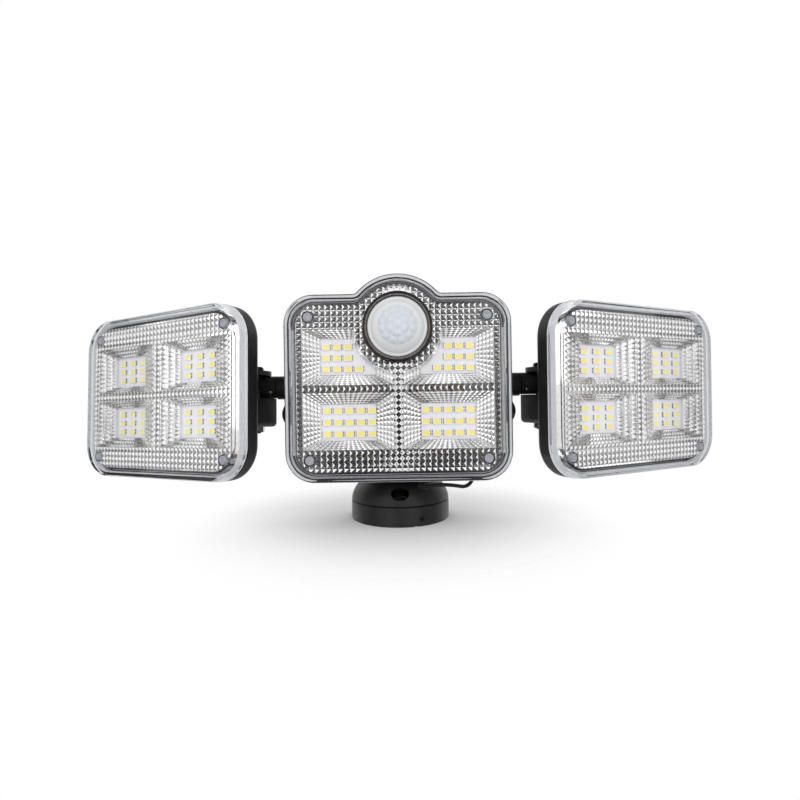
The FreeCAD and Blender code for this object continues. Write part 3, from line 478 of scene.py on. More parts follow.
def milky_lens():
    """Milky plastic with painted shade, which makes the faceted middle a little bluer and darker than the
    rim.
    """
    material, shader = new_material("milky_lens")
    nodes = material.node_tree.nodes
    where = nodes.new("ShaderNodeTexCoord")
    away = nodes.new("ShaderNodeVectorMath")
    away.operation = "MULTIPLY_ADD"
    link(material, where.outputs["Object"], away.inputs[0])
    away.inputs[1].default_value = (1, 0, 1)
    away.inputs[2].default_value = (0, 0, -(head_z + sensor_z) * MM)
    reach = nodes.new("ShaderNodeVectorMath")
    reach.operation = "LENGTH"
    link(material, away.outputs[0], reach.inputs[0])
    links = material.node_tree.links
    # Painted shade: the middle's colour is darker and bluer than the rim's, by distance from the sensor's
    # axis
    share = ramp_value(nodes, links, reach.outputs["Value"], *(r * MM for r in lens_shade_edge))
    colour = blend_colour(nodes, links, share, (0.66, 0.71, 0.75, 1), (0.80, 0.81, 0.81, 1))
    link(material, colour, shader.inputs["Base Color"])
    vary(material, shader, "Roughness", add_noise(material, 300), 0.30, 0.38)
    shader.inputs["Coat Weight"].default_value = 0.6
    shader.inputs["Coat Roughness"].default_value = 0.12
    return material


def frosted_plastic(name, low, high):
    """Textured clear plastic, where light that comes in from the sides is scattered."""
    material = plain(name, low, high, (0.45, 0.6), 500)
    shader = next(n for n in material.node_tree.nodes if n.type == "BSDF_PRINCIPLED")
    shader.inputs["Transmission Weight"].default_value = 0.3
    shader.inputs["IOR"].default_value = 1.2
    return material


black_plastic = plain("black_plastic", (0.008, 0.008, 0.009), (0.014, 0.014, 0.015), (0.4, 0.5), 220,
                      bump=0.12)
gloss_black = plain("gloss_black", (0.010, 0.010, 0.011), (0.016, 0.015, 0.015), (0.16, 0.24), 300)
# The collar's sloping band: a brown-grey that paints the reflection seen in the gloss black collar
band_painted_reflection = plain("band_painted_reflection", (0.16, 0.14, 0.125), (0.27, 0.24, 0.22), (0.2, 0.3), 900)
rubber_black = plain("rubber_black", (0.010, 0.010, 0.010), (0.02, 0.02, 0.02), (0.55, 0.7), 500, bump=0.1)
steel = plain("steel", (0.50, 0.50, 0.51), (0.62, 0.62, 0.63), (0.22, 0.34), 700, metallic=1.0)
black_steel = plain("black_steel", (0.03, 0.03, 0.03), (0.05, 0.05, 0.05), (0.3, 0.4), 700, metallic=0.9)
mirror = plain("metallised", (0.88, 0.87, 0.86), (0.94, 0.93, 0.92), (0.04, 0.10), 420, metallic=1.0)
satin_mirror = plain("metallised_satin", (0.90, 0.89, 0.88), (0.95, 0.94, 0.93), (0.2, 0.3), 420,
                     metallic=1.0)
board_white = plain("board_white", (0.86, 0.85, 0.87), (0.90, 0.89, 0.90), (0.4, 0.5), 500, bump=0.05)
package_white = plain("package_white", (0.86, 0.86, 0.84), (0.90, 0.90, 0.88), (0.35, 0.45), 900)
phosphor = plain("phosphor", (0.97, 0.83, 0.18), (1.0, 0.88, 0.25), (0.35, 0.5), 1500, bump=0.05)
terminal = plain("terminal", (0.16, 0.11, 0.08), (0.28, 0.22, 0.18), (0.35, 0.5), 1500, metallic=0.7)
circuit_green = plain("circuit_green", (0.01, 0.10, 0.04), (0.02, 0.14, 0.06), (0.35, 0.5), 400)
cell_wrap = plain("cell_wrap", (0.02, 0.06, 0.18), (0.03, 0.08, 0.22), (0.25, 0.35), 300)
clear = clear_plastic()
frosted = frosted_plastic("frosted_plastic", (0.42, 0.44, 0.47), (0.52, 0.54, 0.57))
# A pale plastic on the covers' inner wall and back, which paints the light reflected in their clear rims
pale = frosted_plastic("rim_reflection_plastic", (0.84, 0.85, 0.87), (0.92, 0.93, 0.94))
lens_milk = milky_lens()

slot_materials = {
    "black_plastic": black_plastic,
    "clear_cover": clear,
    "metallised_reflector": mirror,
    "board_white": board_white,
    "led_yellow": phosphor,
    "lens_white": lens_milk,
    "collar_dark": gloss_black,
    "seal_rubber": rubber_black,
    "lead_rubber": rubber_black,
    "screw_steel": steel,
    "bolt_black": black_steel,
    "sensor_metal": steel,
    "circuit_green": circuit_green,
    "cell_blue": cell_wrap,
}


def finish_cad_nodes():
    """Every node that stays gets its slot's material, but the screws in the base's side are dark."""
    for part in frame["record"]["subparts"]:
        node = frame["nodes"][part["node"]]
        node.data.materials.clear()
        material = slot_materials[part["material_slot"]]
        if part["node"] == "base_screws":
            material = black_steel
        node.data.materials.append(material)


# Clear covers

def posts(head):
    x, z = (main_post_x, main_post_z) if head == "main" else (side_post_x, side_post_z)
    return [(sx * x, sz * z) for sx in (-1, 1) for sz in (-1, 1)]


def cover_rings(head):
    """The cover's skin from the inner back edge, round the flange and up to the face."""
    across, along = flange_bevel
    front = cover_depth - flange_thick
    rings = []
    for inset, y in ((-flange_step, cover_depth), (-flange_step, front + along),
                     (-flange_step + across, front), (0.0, front)):
        rings.append(at_depth(cover_outline(head, inset), y))
    steps = 6
    for i in range(steps + 1):
        a = math.pi / 2 * i / steps
        inset = cover_bevel * (1 - math.cos(a))
        rings.append(at_depth(cover_outline(head, inset), cover_bevel * (1 - math.sin(a))))
    return rings


def opening(head):
    """The hole for the sensor's ring in the main head's cover and reflector, as a list of loops."""
    return [circle(0, sensor_z, collar_radius + hole_gap, 64)] if head == "main" else []


def inner_skin(shape, head):
    """The round under the cover's face, and the inside of its wall, which is pale as a painted reflection but
    for clear sides.
    """
    rings = []
    steps = 4
    for i in range(steps + 1):
        a = math.pi / 2 * i / steps
        inset = cover_wall + inner_round * (1 - math.sin(a))
        rings.append(at_depth(cover_outline(head, inset), cover_face + inner_round * (1 - math.cos(a))))
    shape.loft(rings)
    # The wall's pale inside is a painted reflection, seen through the clear rim
    shape.loft([rings[-1], at_depth(cover_outline(head, cover_wall), cover_depth)], RIM_REFLECTION, clear_sides(head))


def screw_post(shape, x, z):
    """A hollow post behind the cover's face. Its pocket has a frosted floor."""
    wall = circle(x, z, post_radius)
    pilot = circle(x, z, pilot_radius)
    pocket = circle(x, z, pocket_radius)
    shape.loft([at_depth(wall, cover_face), at_depth(wall, post_end), at_depth(pilot, post_end),
                at_depth(pilot, pilot_start + pilot_chamfer), at_depth(pocket, pilot_start)])
    floor = [at_depth(circle(x, z, pocket_radius * share), pocket_floor + y) for share, y in pocket_dish]
    shape.loft([at_depth(pocket, pilot_start)] + floor, FROSTED)
    shape.add(floor[-1], [list(range(len(pocket)))], FROSTED)


def cover(head):
    shape = Shape()
    shape.loft(cover_rings(head))
    shape.cap(cover_outline(head, cover_bevel), opening(head), 0)
    inner_skin(shape, head)
    cover_back(shape, head)
    holes = [circle(x, z, post_radius) for x, z in posts(head)]
    shape.cap(cover_outline(head, cover_wall + inner_round), holes + opening(head), cover_face)
    for hole in opening(head):
        shape.loft([at_depth(hole, 0), at_depth(hole, cover_face)])
    for x, z in posts(head):
        screw_post(shape, x, z)
    mesh = mesh_of(head + "_clear_cover", shape, head_matrix(head))
    new_piece(head + "_clear_cover", mesh, [clear, frosted, black_plastic, pale], head_body(head),
              [head + "_cover"])


def straight_sides(head):
    """The two long quads of an outline that are the straight upright sides."""
    return (arc_steps, len(cover_outline(head, 0)) - arc_steps - 2)


def clear_sides(head):
    return straight_sides(head) if head == "main" else ()


def cover_back(shape, head):
    """The cover's back in bands from the wall out, which show through its edge as the rim's lines. Its pale
    bands are painted reflection of light in the rim.
    """
    if head == "main":
        insets = (cover_wall, 1.5, 0.8, 0.3, -flange_step)
        # The pale bands are painted reflection, between black and clear ones
        kinds = (RIM_REFLECTION, BLACK, RIM_REFLECTION, BLACK)
    else:
        insets = (cover_wall, 0.9, 0.7, -flange_step)
        kinds = (RIM_REFLECTION, CLEAR, RIM_REFLECTION)
    for k, (a, b) in enumerate(zip(insets, insets[1:])):
        rings = [at_depth(cover_outline(head, i), cover_depth) for i in (a, b)]
        shape.loft(rings, kinds[k], clear_sides(head) if k == 0 else ())


# Reflectors

def stud_sheet(head):
    """A block whose front is a field of pyramids, larger than the reflector.

    half_x and half_z count the pyramids on each side of the middle one.
    """
    half_x = 20
    half_z = 21
    middle = stud_shifts[head]
    shape = Shape()
    top = {}
    for i in range(-half_x, half_x + 2):
        for k in range(-half_z, half_z + 2):
            x = (i - 0.5) * stud_pitch
            z = (k - 0.5) * stud_pitch + middle
            top[i, k] = len(shape.points)
            shape.points.append((x, reflector_y, z))
    for i in range(-half_x, half_x + 1):
        for k in range(-half_z, half_z + 1):
            corners = [top[i, k], top[i + 1, k], top[i + 1, k + 1], top[i, k + 1]]
            peak = len(shape.points)
            shape.points.append((i * stud_pitch, reflector_y - stud_heights[head], k * stud_pitch + middle))
            for a, b in zip(corners, corners[1:] + corners[:1]):
                shape.faces.append([a, b, peak])
    edge = ([top[i, -half_z] for i in range(-half_x, half_x + 1)]
            + [top[half_x + 1, k] for k in range(-half_z, half_z + 1)]
            + [top[i, half_z + 1] for i in range(half_x + 1, -half_x, -1)]
            + [top[-half_x, k] for k in range(half_z + 1, -half_z, -1)])
    back = reflector_y + plate_thick
    low = [shape.points[i] for i in edge]
    base = len(shape.points)
    shape.points += [(x, back, z) for x, y, z in low]
    n = len(edge)
    for i in range(n):
        j = (i + 1) % n
        shape.faces.append([edge[i], edge[j], base + j, base + i])
    shape.faces.append([base + i for i in range(n)])
    shape.kinds = [0] * len(shape.faces)
    return shape


def wells(head):
    """Each well as its walls: (rim points, window points) that run on round the well."""
    if head == "main":
        return main_wells()
    found = []
    for sx in (-1, 1):
        for sz in (-1, 1):
            rim = box_loop(sx, sz, side_rims_x, side_rims_z)
            window = box_loop(sx, sz, side_windows_x, side_windows_z)
            found.append(straight_walls(rim, window))
    return found


def box_loop(sx, sz, xs, zs):
    (x0, x1), (z0, z1) = xs, zs
    return [(sx * x0, sz * z0), (sx * x1, sz * z0), (sx * x1, sz * z1), (sx * x0, sz * z1)]


def straight_walls(rim, window):
    """Walls between matching corners, each cut into as many columns as studs fit at the rim."""
    walls = []
    n = len(rim)
    for i in range(n):
        j = (i + 1) % n
        columns = max(1, round(math.dist(rim[i], rim[j]) / stud_pitch))
        walls.append([
            [lerp(a, b, c / columns) for c in range(columns)]
            for a, b in ((rim[i], rim[j]), (window[i], window[j]))
        ])
    return walls


def main_wells():
    found = []
    for sx in (-1, 1):
        low_rim = box_loop(sx, 1, main_rims_x, main_low_rim)
        low_window = box_loop(sx, 1, main_windows_x, main_low_window)
        found.append(straight_walls(low_rim, low_window))
        found.append(high_walls(sx))
    return found


def on_circle(r, x=None, z=None):
    """The other coordinate of a point on the lower right of a circle about the sensor."""
    if x is None:
        return math.sqrt(r ** 2 - (z - sensor_z) ** 2)
    return sensor_z - math.sqrt(r ** 2 - x ** 2)


def high_walls(sx):
    """The upper wells stop at an arc round the sensor."""
    (x0, x1), (z0, z1) = main_rims_x, main_high_rim
    (u0, u1), (w0, w1) = main_windows_x, main_high_window
    rim = [(x0, z0), (x1, z0), (x1, z1), (on_circle(arc_rim, z=z1), z1), (x0, on_circle(arc_rim, x=x0))]
    window = [(u0, w0), (u1, w0), (u1, w1), (on_circle(arc_window, z=w1), w1),
              (u0, on_circle(arc_window, x=u0))]
    walls = straight_walls(rim, window)
    curved = []
    for r, loop in ((arc_rim, rim), (arc_window, window)):
        start, end = (math.degrees(math.atan2(p[1] - sensor_z, p[0])) for p in loop[3:5])
        curved.append(arc(0, sensor_z, r, start, end, arc_columns)[:-1])
    walls[3] = curved
    return [[[(sx * x, z) for x, z in line] for line in wall] for wall in walls]


def rim_loop(walls):
    return [p for wall in walls for p in wall[0]]


def window_loop(walls):
    return [p for wall in walls for p in wall[1]]


def grown(loop, by):
    """The loop pushed away from its middle, by the same length in X and in Z."""
    cx = sum(p[0] for p in loop) / len(loop)
    cz = sum(p[1] for p in loop) / len(loop)
    out = []
    for x, z in loop:
        out.append((x + math.copysign(by, x - cx), z + math.copysign(by, z - cz)))
    return out


def wall_stud(shape, quad, front, height):
    """A pyramid on a quad. Its height is a share of the quad's size."""
    a, b, c, d = quad
    normal = (c - a).cross(d - b).normalized()
    if normal.dot(front) < 0:
        normal = -normal
    size = ((b - a).length + (c - d).length + (d - a).length + (c - b).length) / 4
    peak = (a + b + c + d) / 4 + normal * height * size
    shape.add([a, b, c, d, peak], [(0, 1, 4), (1, 2, 4), (2, 3, 4), (3, 0, 4)], SATIN)


def well(shape, walls, head):
    """A tapered well whose walls are steps. Each tread carries a row of studs and slopes a little."""
    rows = well_rows[head]
    rim = rim_loop(walls)
    window = window_loop(walls)
    in_front = -30.0
    middle = Vector((sum(x for x, z in rim) / len(rim), in_front, sum(z for x, z in rim) / len(rim)))
    drop = (reflector_back - reflector_y) / rows
    for i, (top, bottom) in enumerate(walls):
        follow = walls[(i + 1) % len(walls)]
        lines = [top + follow[0][:1], bottom + follow[1][:1]]
        fall = math.tan(math.radians(tread_tilt)) * math.dist(top[0], bottom[0]) / rows
        for k in range(rows):
            y = reflector_y + drop * k
            places = [[lerp(a, b, (k + e) / rows) for a, b in zip(*lines)] for e in (0, 1)]
            outer = [Vector((x, y, z)) for x, z in places[0]]
            inner = [Vector((x, y + fall, z)) for x, z in places[1]]
            foot = [Vector((x, y + drop, z)) for x, z in places[1]]
            for c in range(len(outer) - 1):
                quad = [outer[c], outer[c + 1], inner[c + 1], inner[c]]
                wall_stud(shape, quad, middle - quad[0], wall_stud_heights[head])
                shape.add([inner[c], inner[c + 1], foot[c + 1], foot[c]], [(0, 1, 2, 3)], MIRROR)
    shape.loft([at_depth(window, reflector_back), at_depth(grown(window, well_wall), reflector_back),
                at_depth(grown(rim, well_wall), reflector_y + plate_thick / 2),
                at_depth(rim, reflector_y)])


def hinge_side(head):
    """The outline's quads on a side head's hinge side, with a part of its two corners."""
    middle = straight_sides(head)[0 if head == "left" else 1]
    return range(middle - hinge_side_steps, middle + hinge_side_steps + 1)


def border(shape, head):
    """The black edge behind the reflector's studs, bright on a side head's hinge side.

    The main head has two bright strips on it.
    """
    back = border_y + border_thick
    inner = outline(head, reflector_inset + border_lap)
    outer = outline(head, border_inset)
    rings = [at_depth(outer, border_y), at_depth(inner, border_y), at_depth(inner, back),
             at_depth(outer, back)]
    shape.loft(rings + rings[:1], EDGE, () if head == "main" else hinge_side(head))
    if head != "main":
        return
    for sx in (-1, 1):
        far, near = (sx * (main_width / 2 - inset) for inset in strip_insets)
        profile = [(far, border_y), (far, border_y - strip_edge), (near, reflector_y + strip_drop),
                   (near, border_y)]
        ends = [[(x, y, z) for x, y in profile] for z in (strip_low, strip_high)]
        shape.add(ends[0] + ends[1], [(0, 1, 2, 3), (4, 5, 6, 7), (0, 1, 5, 4), (1, 2, 6, 5),
                                      (2, 3, 7, 6), (3, 0, 4, 7)])


def region(head):
    """The reflector's face as a prism with its holes, for cutting the stud sheet."""
    holes = [rim_loop(walls) for walls in wells(head)] + opening(head)
    edge = outline(head, reflector_inset)
    shape = Shape()
    for y in (cutter_front, cutter_back):
        shape.cap(edge, holes, y)
    for loop in [edge] + holes:
        shape.loft([at_depth(loop, cutter_front), at_depth(loop, cutter_back)])
    return shape


def post_rods(head):
    """Rods round the cover's posts, for cutting the reflector."""
    shape = Shape()
    for x, z in posts(head):
        loop = circle(x, z, post_radius + hole_gap)
        shape.loft([at_depth(loop, cutter_front), at_depth(loop, cutter_back)])
        shape.cap(loop, [], cutter_front)
        shape.cap(loop, [], cutter_back)
    return shape


def cut(name, solid, cutter, operation):
    """What a boolean operation makes of two closed meshes."""
    first = place_object(name, solid)
    second = place_object(name + "_cutter", cutter)
    boolean = first.modifiers.new("cut", "BOOLEAN")
    boolean.operation = operation
    boolean.solver = "MANIFOLD"
    boolean.object = second
    graph = bpy.context.evaluated_depsgraph_get()
    mesh = bpy.data.meshes.new_from_object(first.evaluated_get(graph))
    for obj in (first, second):
        bpy.data.objects.remove(obj)
    return mesh


def reflector(head):
    matrix = head_matrix(head)
    name = head + "_studded_reflector"
    sheet = mesh_of(name + "_sheet", stud_sheet(head), matrix)
    prism = mesh_of(name + "_prism", region(head), matrix)
    rods = mesh_of(name + "_rods", post_rods(head), matrix)
    plate = cut(name, cut(name, sheet, prism, "INTERSECT"), rods, "DIFFERENCE")
    shape = Shape()
    for walls in wells(head):
        well(shape, walls, head)
    border(shape, head)
    walls_mesh = mesh_of(name + "_wells", shape, matrix)
    work = bmesh.new()
    work.from_mesh(plate)
    work.from_mesh(walls_mesh)
    mesh = bpy.data.meshes.new(name)
    work.to_mesh(mesh)
    work.free()
    mesh.shade_flat()
    new_piece(name, mesh, [mirror, black_plastic, satin_mirror], head_body(head),
              [head + "_reflector"])


# Diodes

def main_led_places():
    first_x, pitch_x, top_z, pitch_z = 11.05, 4.62, -9.05, 4.8
    last_x, high_pitch_x, high_top_z, high_pitch_z = 29.6, 4.5, 17.2, 4.55
    places = []
    for sx in (-1, 1):
        for row in range(3):
            places += [(sx * (first_x + k * pitch_x), top_z - row * pitch_z) for k in range(5)]
            across = 4 if row == 2 else 3
            places += [(sx * (last_x - k * high_pitch_x), high_top_z - row * high_pitch_z)
                       for k in range(across)]
    return places


def side_led_places(side):
    cell_x, cell_z, pitch_x, pitch_z, inwards = 22.1, 12.05, 7.2, 4.0, 0.9
    shift = -side * inwards
    steps = (-1, 0, 1)
    return [(sx * cell_x + shift + i * pitch_x, sz * cell_z + k * pitch_z)
            for sx in (-1, 1) for sz in (-1, 1) for i in steps for k in steps]


def rounded_box(x0, x1, z0, z1, r, steps=3):
    return (arc(x1 - r, z0 + r, r, -90, 0, steps) + arc(x1 - r, z1 - r, r, 0, 90, steps)
            + arc(x0 + r, z1 - r, r, 90, 180, steps) + arc(x0 + r, z0 + r, r, 180, 270, steps))


def led(shape, x, z):
    """A white package with a dished yellow window and two soldered terminals at each end."""
    w = led_width / 2
    h = led_height / 2

    def loops(table):
        return [at_depth(rounded_box(x - w + inset, x + w - inset, z - h + inset, z + h - inset, r),
                         board_y - led_thick + y)
                for inset, y, r in table]

    package = loops(package_loops)
    window = loops(window_loops)
    shape.loft(package, PACKAGE)
    shape.loft(window, PHOSPHOR)
    face = [list(range(len(window[-1])))]
    shape.add(window[-1], face, PHOSPHOR)
    shape.add(package[0], face, PACKAGE)
    for sx in (-1, 1):
        for sz in (-1, 1):
            x0, x1 = sorted((x + sx * (w - terminal_in), x + sx * (w + terminal_out)))
            mid = z + sz * terminal_z
            shape.box((x0, board_y - terminal_up, mid - terminal_half), (x1, board_y, mid + terminal_half),
                      TERMINAL)


def leds(head):
    shape = Shape()
    for x, z in main_led_places() if head == "main" else side_led_places(side_signs[head]):
        led(shape, x, z)
    name = head + "_diodes"
    mesh = mesh_of(name, shape, head_matrix(head))
    new_piece(name, mesh, [package_white, phosphor, terminal], head_body(head),
              [head + "_leds"])


# Motion sensor

def turned(profile, steps=96):
    """A profile of (radius, depth) turned about the sensor's axis, as rings."""
    return [at_depth(circle(0, sensor_z, r, steps), y) for r, y in profile]


def sensor_collar():
    """A ring with a bead at its rim, a sloping band with a painted reflection in brown-grey, and a seat for
    the dome's flange.
    """
    def round_lens(table):
        return [(lens_flange_radius + out, y - collar_proud) for out, y in table]

    shape = Shape()
    back = board_y - part_gap
    front = -collar_proud
    band = round_lens(collar_band)
    lip = round_lens(collar_lip)
    seat = lip[-1][0]
    seat_back = lens_face + lens_flange_thick + part_gap / 2
    bead = [(collar_radius - collar_bead * (1 - math.cos(math.radians(a))),
             front + collar_bead * (1 - math.sin(math.radians(a)))) for a in range(0, 181, 20)]
    inside = lip + [(seat, seat_back), (lens_radius, seat_back), (lens_radius, back)]
    shape.loft(turned([(lens_radius, back), (collar_radius, back)] + bead + band[:1]), GLOSS)
    # The sloping band carries the painted reflection
    shape.loft(turned(band), PAINTED_REFLECTION)
    shape.loft(turned(band[-1:] + inside), GLOSS)
    mesh = mesh_of("sensor_bezel", shape, head_matrix("main"))
    new_piece("sensor_bezel", mesh, [gloss_black, band_painted_reflection], "main_head", ["sensor_collar"])


def facet(r, angle):
    """How far the dome's skin stands out in the facet at this radius and angle, from 0 to 1."""
    for low, high, count in facet_bands:
        if low <= r < high:
            if count == 1:
                return 1 - (r / high) ** 2
            across = (angle * count / (2 * math.pi)) % 1.0
            t = (r - low) / (high - low)
            return (1 - (2 * t - 1) ** 2) * (1 - (2 * across - 1) ** 2)
    return 0.0


def sensor_dome():
    """A hollow milky cap with facets in the middle, a smooth round skirt and a flat flange."""
    height = lens_height - facet_relief
    bulge = (lens_radius ** 2 + height ** 2) / (2 * height)
    centre_y = lens_face - height + bulge
    open_angle = math.asin(lens_radius / bulge)
    rows = 60
    steps = 144
    rings = []
    for k in range(1, rows + 1):
        a = open_angle * k / rows
        ring = []
        for i in range(steps):
            turn = 2 * math.pi * i / steps
            r = bulge + facet_relief * facet(bulge * math.sin(a), turn)
            ring.append((r * math.sin(a) * math.cos(turn), centre_y - r * math.cos(a),
                         sensor_z + r * math.sin(a) * math.sin(turn)))
        rings.append(ring)
    shape = Shape()
    flange_back = lens_face + lens_flange_thick
    out, up = lens_fillet
    flange = turned([(lens_radius + out, lens_face - up), (lens_flange_radius - lens_flange_round, lens_face),
                     (lens_flange_radius, lens_face + lens_flange_round), (lens_flange_radius, flange_back),
                     (lens_radius - lens_wall, flange_back)], steps)
    hollow = bulge - lens_wall
    inside_rows = 12
    inside_angles = [open_angle * k / inside_rows for k in range(inside_rows, 0, -1)]
    inside = turned([(hollow * math.sin(a), centre_y - hollow * math.cos(a)) for a in inside_angles], steps)
    shape.loft(rings + flange + inside)
    for tip, ring in (((0, centre_y - bulge - facet_relief, sensor_z), rings[0]),
                      ((0, centre_y - hollow, sensor_z), inside[-1])):
        shape.add([tip] + ring, [[0, i + 1, (i + 1) % steps + 1] for i in range(steps)])
    mesh = mesh_of("sensor_dome", shape, head_matrix("main"), crease=60)
    new_piece("sensor_dome", mesh, [lens_milk], "main_head", ["sensor_lens"])


# Leads

supply_route = [
    (31.8, -16.6, 27.6), (31.9, -11.5, 26.4), (32.6, -8.8, 21.8), (32.3, -10.2, 17.0), (28.8, -13.4, 14.8),
    (23.6, -16.2, 16.2), (18.0, -18.2, 17.0), (12.6, -18.4, 16.6), (8.0, -15.2, 15.6),
]
head_route = [
    (34.6, 0.0, 41.9), (40.2, 0.0, 41.5), (46.0, 0.0, 40.2), (51.3, 0.0, 41.9), (54.2, 0.0, 46.9),
    (52.3, 0.0, 52.2), (47.4, 0.0, 56.6),
]
lead_radius = 0.8


def smooth_line(name, points):
    """Points in metres, in order, along a smooth line whose control points are the route's."""
    data = bpy.data.curves.new(name, "CURVE")
    data.dimensions = "3D"
    data.resolution_u = 16
    spline = data.splines.new("NURBS")
    spline.points.add(len(points) - 1)
    for place, p in zip(spline.points, points):
        place.co = (*(Vector(p) * MM), 1)
    spline.order_u = 3
    spline.use_endpoint_u = True
    obj = place_object(name, data)
    graph = bpy.context.evaluated_depsgraph_get()
    mesh = bpy.data.meshes.new_from_object(obj.evaluated_get(graph))
    bpy.data.objects.remove(obj)
    return [v.co.copy() for v in mesh.vertices]


def tube_mesh(name, line, radius, sides=20):
    """A tube round a line of points in metres, its section carried along without twist."""
    shape = Shape()
    rings = []
    normal = None
    for i, p in enumerate(line):
        ahead = line[min(i + 1, len(line) - 1)] - line[max(i - 1, 0)]
        ahead.normalize()
        if normal is None:
            normal = ahead.orthogonal().normalized()
        normal = (normal - ahead * normal.dot(ahead)).normalized()
        other = ahead.cross(normal)
        ring = []
        for k in range(sides):
            a = 2 * math.pi * k / sides
            ring.append(tuple((p + (normal * math.cos(a) + other * math.sin(a)) * radius * MM) / MM))
        rings.append(ring)
    shape.loft(rings)
    for ring in (rings[0], rings[-1]):
        shape.add(ring, [list(range(sides))])
    return mesh_of(name, shape)


def supply_lead():
    line = smooth_line("supply_line", supply_route)
    mesh = tube_mesh("supply_flex", line, lead_radius)
    obj = place_object("supply_flex", mesh)
    mesh.materials.append(rubber_black)
    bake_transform(obj)
    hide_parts("supply_lead")


def head_lead(side_name):
    sx = side_signs[side_name]
    points = [(sx * x, y, z) for x, y, z in head_route]
    name = side_name + "_flex"
    line = smooth_line(name + "_line", points)
    mesh = tube_mesh(name, line, lead_radius)
    obj = new_piece(name, mesh, [rubber_black], "main_head", [side_name + "_lead"])


# Camera, stage and light

white = (1.0, 1.0, 1.0, 1.0)
ahead_colour = (0.10, 0.09, 0.09, 1.0)
dim = (0.035, 0.042, 0.05, 1.0)
strip = (0.6, 0.6, 0.6, 1.0)
dark = (0.10, 0.10, 0.105, 1.0)
above = (0.015, 0.008, 0.006, 1.0)
# The studio round the object at angles from straight ahead of it, the same on the left and the right
studio_round = ((11, ahead_colour), (16, white), (41, white), (47, dim), (64, dim), (73, strip),
                (80, strip), (84, dark), (99, dark), (109, white))
above_start = 0.62
above_end = 0.78
even_light = (0.72, 0.72, 0.73, 1.0)
floor_fade = (0.035, 0.10)
lamp_aim = (0, 0, 0.06)


def make_camera():
    data = bpy.data.cameras.new("camera")
    data.sensor_width = 36
    data.lens = camera_lens
    data.clip_start = 0.01
    obj = place_object("camera", data)
    obj.location = Vector((camera_x, camera_y, camera_z)) * MM
    turn = Matrix.Rotation(math.radians(90), 3, "X") @ Matrix.Rotation(math.radians(camera_roll), 3, "Z")
    obj.rotation_euler = turn.to_euler()
    bpy.context.scene.camera = obj


def area_light(name, place, width, height, power):
    """A soft lamp that points at the object and isn't seen in reflections."""
    data = bpy.data.lights.new(name, "AREA")
    data.shape = "RECTANGLE"
    data.size = width
    data.size_y = height
    data.energy = power
    obj = place_object(name, data)
    obj.location = place
    obj.rotation_mode = "QUATERNION"
    obj.rotation_quaternion = (Vector(lamp_aim) - Vector(place)).to_track_quat("-Z", "Y")
    obj.visible_glossy = False


def paint_studio(stops):
    """The studio's colours, from straight ahead of the object round to behind it."""
    for k, (angle, colour) in enumerate(studio_round):
        place = (1 - math.cos(math.radians(angle))) / 2
        stop = stops[0] if k == 0 else stops.new(place)
        stop.position = place
        stop.color = colour
    stops.remove(stops[-1])


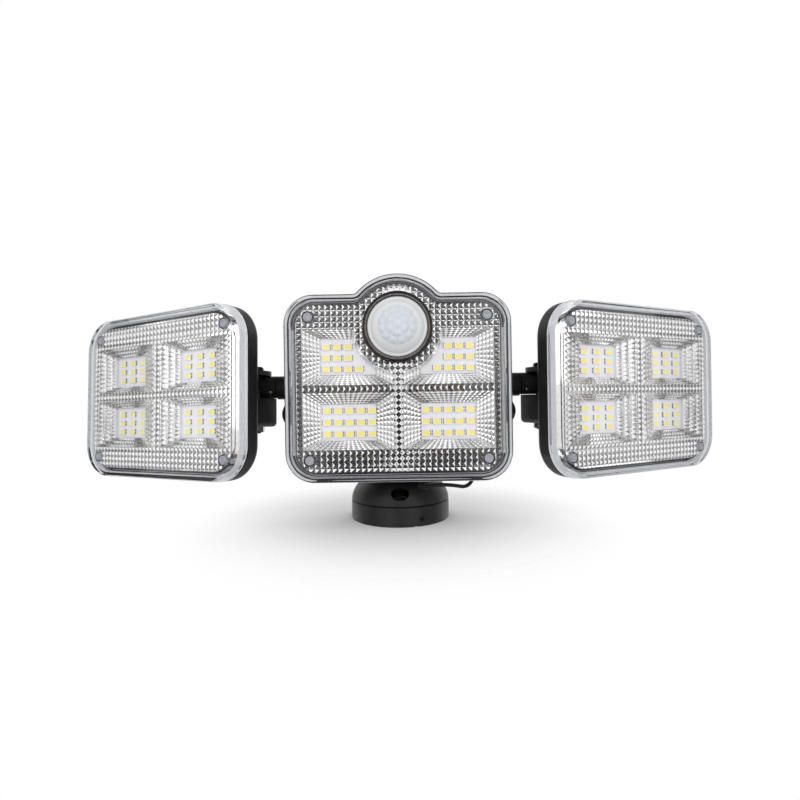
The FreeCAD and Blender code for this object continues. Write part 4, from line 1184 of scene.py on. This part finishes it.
def make_world():
    """A studio with white panels left and right of the camera, a pale strip on each side and white behind.

    The camera sees white all round. Metal and glass see the studio, and dull surfaces an even light.
    """
    world = bpy.data.worlds.new("studio")
    bpy.context.scene.world = world
    world.use_nodes = True
    nodes = world.node_tree.nodes
    links = world.node_tree.links
    nodes.clear()
    where = nodes.new("ShaderNodeTexCoord")
    flat = nodes.new("ShaderNodeVectorMath")
    flat.operation = "MULTIPLY"
    links.new(where.outputs["Generated"], flat.inputs[0])
    flat.inputs[1].default_value = (1, 1, 0)
    level = nodes.new("ShaderNodeVectorMath")
    level.operation = "NORMALIZE"
    links.new(flat.outputs[0], level.inputs[0])
    ahead = nodes.new("ShaderNodeSeparateXYZ")
    links.new(level.outputs[0], ahead.inputs[0])
    turned_share = nodes.new("ShaderNodeMapRange")
    turned_share.inputs["From Min"].default_value = -1
    links.new(ahead.outputs["Y"], turned_share.inputs["Value"])
    around = nodes.new("ShaderNodeValToRGB")
    links.new(turned_share.outputs["Result"], around.inputs["Fac"])
    paint_studio(around.color_ramp.elements)
    upright = nodes.new("ShaderNodeSeparateXYZ")
    links.new(where.outputs["Generated"], upright.inputs[0])
    height = nodes.new("ShaderNodeMath")
    height.operation = "ABSOLUTE"
    links.new(upright.outputs["Z"], height.inputs[0])
    up = ramp_value(nodes, links, height.outputs[0], above_start, above_end)
    studio = blend_colour(nodes, links, up, around.outputs["Color"], above)
    rays = nodes.new("ShaderNodeLightPath")
    shiny = larger(nodes, links, rays.outputs["Is Glossy Ray"], rays.outputs["Is Transmission Ray"])
    lit = blend_colour(nodes, links, shiny, even_light, studio)
    seen = blend_colour(nodes, links, rays.outputs["Is Camera Ray"], lit, white)
    shade = nodes.new("ShaderNodeBackground")
    links.new(seen, shade.inputs["Color"])
    out = nodes.new("ShaderNodeOutputWorld")
    links.new(shade.outputs[0], out.inputs[0])


def make_floor():
    """A pale round floor that fades into the white background."""
    data = bpy.data.meshes.new("floor")
    work = bmesh.new()
    bmesh.ops.create_circle(work, cap_ends=True, radius=1.2, segments=96)
    work.to_mesh(data)
    work.free()
    obj = place_object("floor", data)
    material = bpy.data.materials.new("floor_white")
    material.use_nodes = True
    nodes = material.node_tree.nodes
    links = material.node_tree.links
    nodes.clear()
    where = nodes.new("ShaderNodeTexCoord")
    reach = nodes.new("ShaderNodeVectorMath")
    reach.operation = "LENGTH"
    links.new(where.outputs["Object"], reach.inputs[0])
    fade = ramp_value(nodes, links, reach.outputs["Value"], *floor_fade)
    rays = nodes.new("ShaderNodeLightPath")
    shiny = larger(nodes, links, rays.outputs["Is Glossy Ray"], rays.outputs["Is Transmission Ray"])
    fade = larger(nodes, links, fade, shiny)
    matt = nodes.new("ShaderNodeBsdfDiffuse")
    matt.inputs["Color"].default_value = (0.95, 0.95, 0.95, 1)
    away = nodes.new("ShaderNodeBsdfTransparent")
    mix = nodes.new("ShaderNodeMixShader")
    links.new(fade, mix.inputs["Fac"])
    links.new(matt.outputs[0], mix.inputs[1])
    links.new(away.outputs[0], mix.inputs[2])
    out = nodes.new("ShaderNodeOutputMaterial")
    links.new(mix.outputs[0], out.inputs[0])
    data.materials.append(material)


def make_lights():
    for sx in (-1, 1):
        area_light("softbox", place=(sx * 0.9, -0.3, 0.12), width=0.4, height=0.6, power=0.8)
    area_light("top", place=(0, 0.35, 0.9), width=0.8, height=0.5, power=2.0)
    area_light("fill", place=(0, -0.9, 0.5), width=0.9, height=0.9, power=3.4)


make_camera()
supply_lead()
for side_name in side_signs:
    head_lead(side_name)
finish_cad_nodes()
for head_name in ("main", "left", "right"):
    cover(head_name)
    reflector(head_name)
    leds(head_name)
sensor_collar()
sensor_dome()
make_world()
make_floor()
make_lights()

scene = bpy.context.scene
scene.view_settings.view_transform = "Standard"
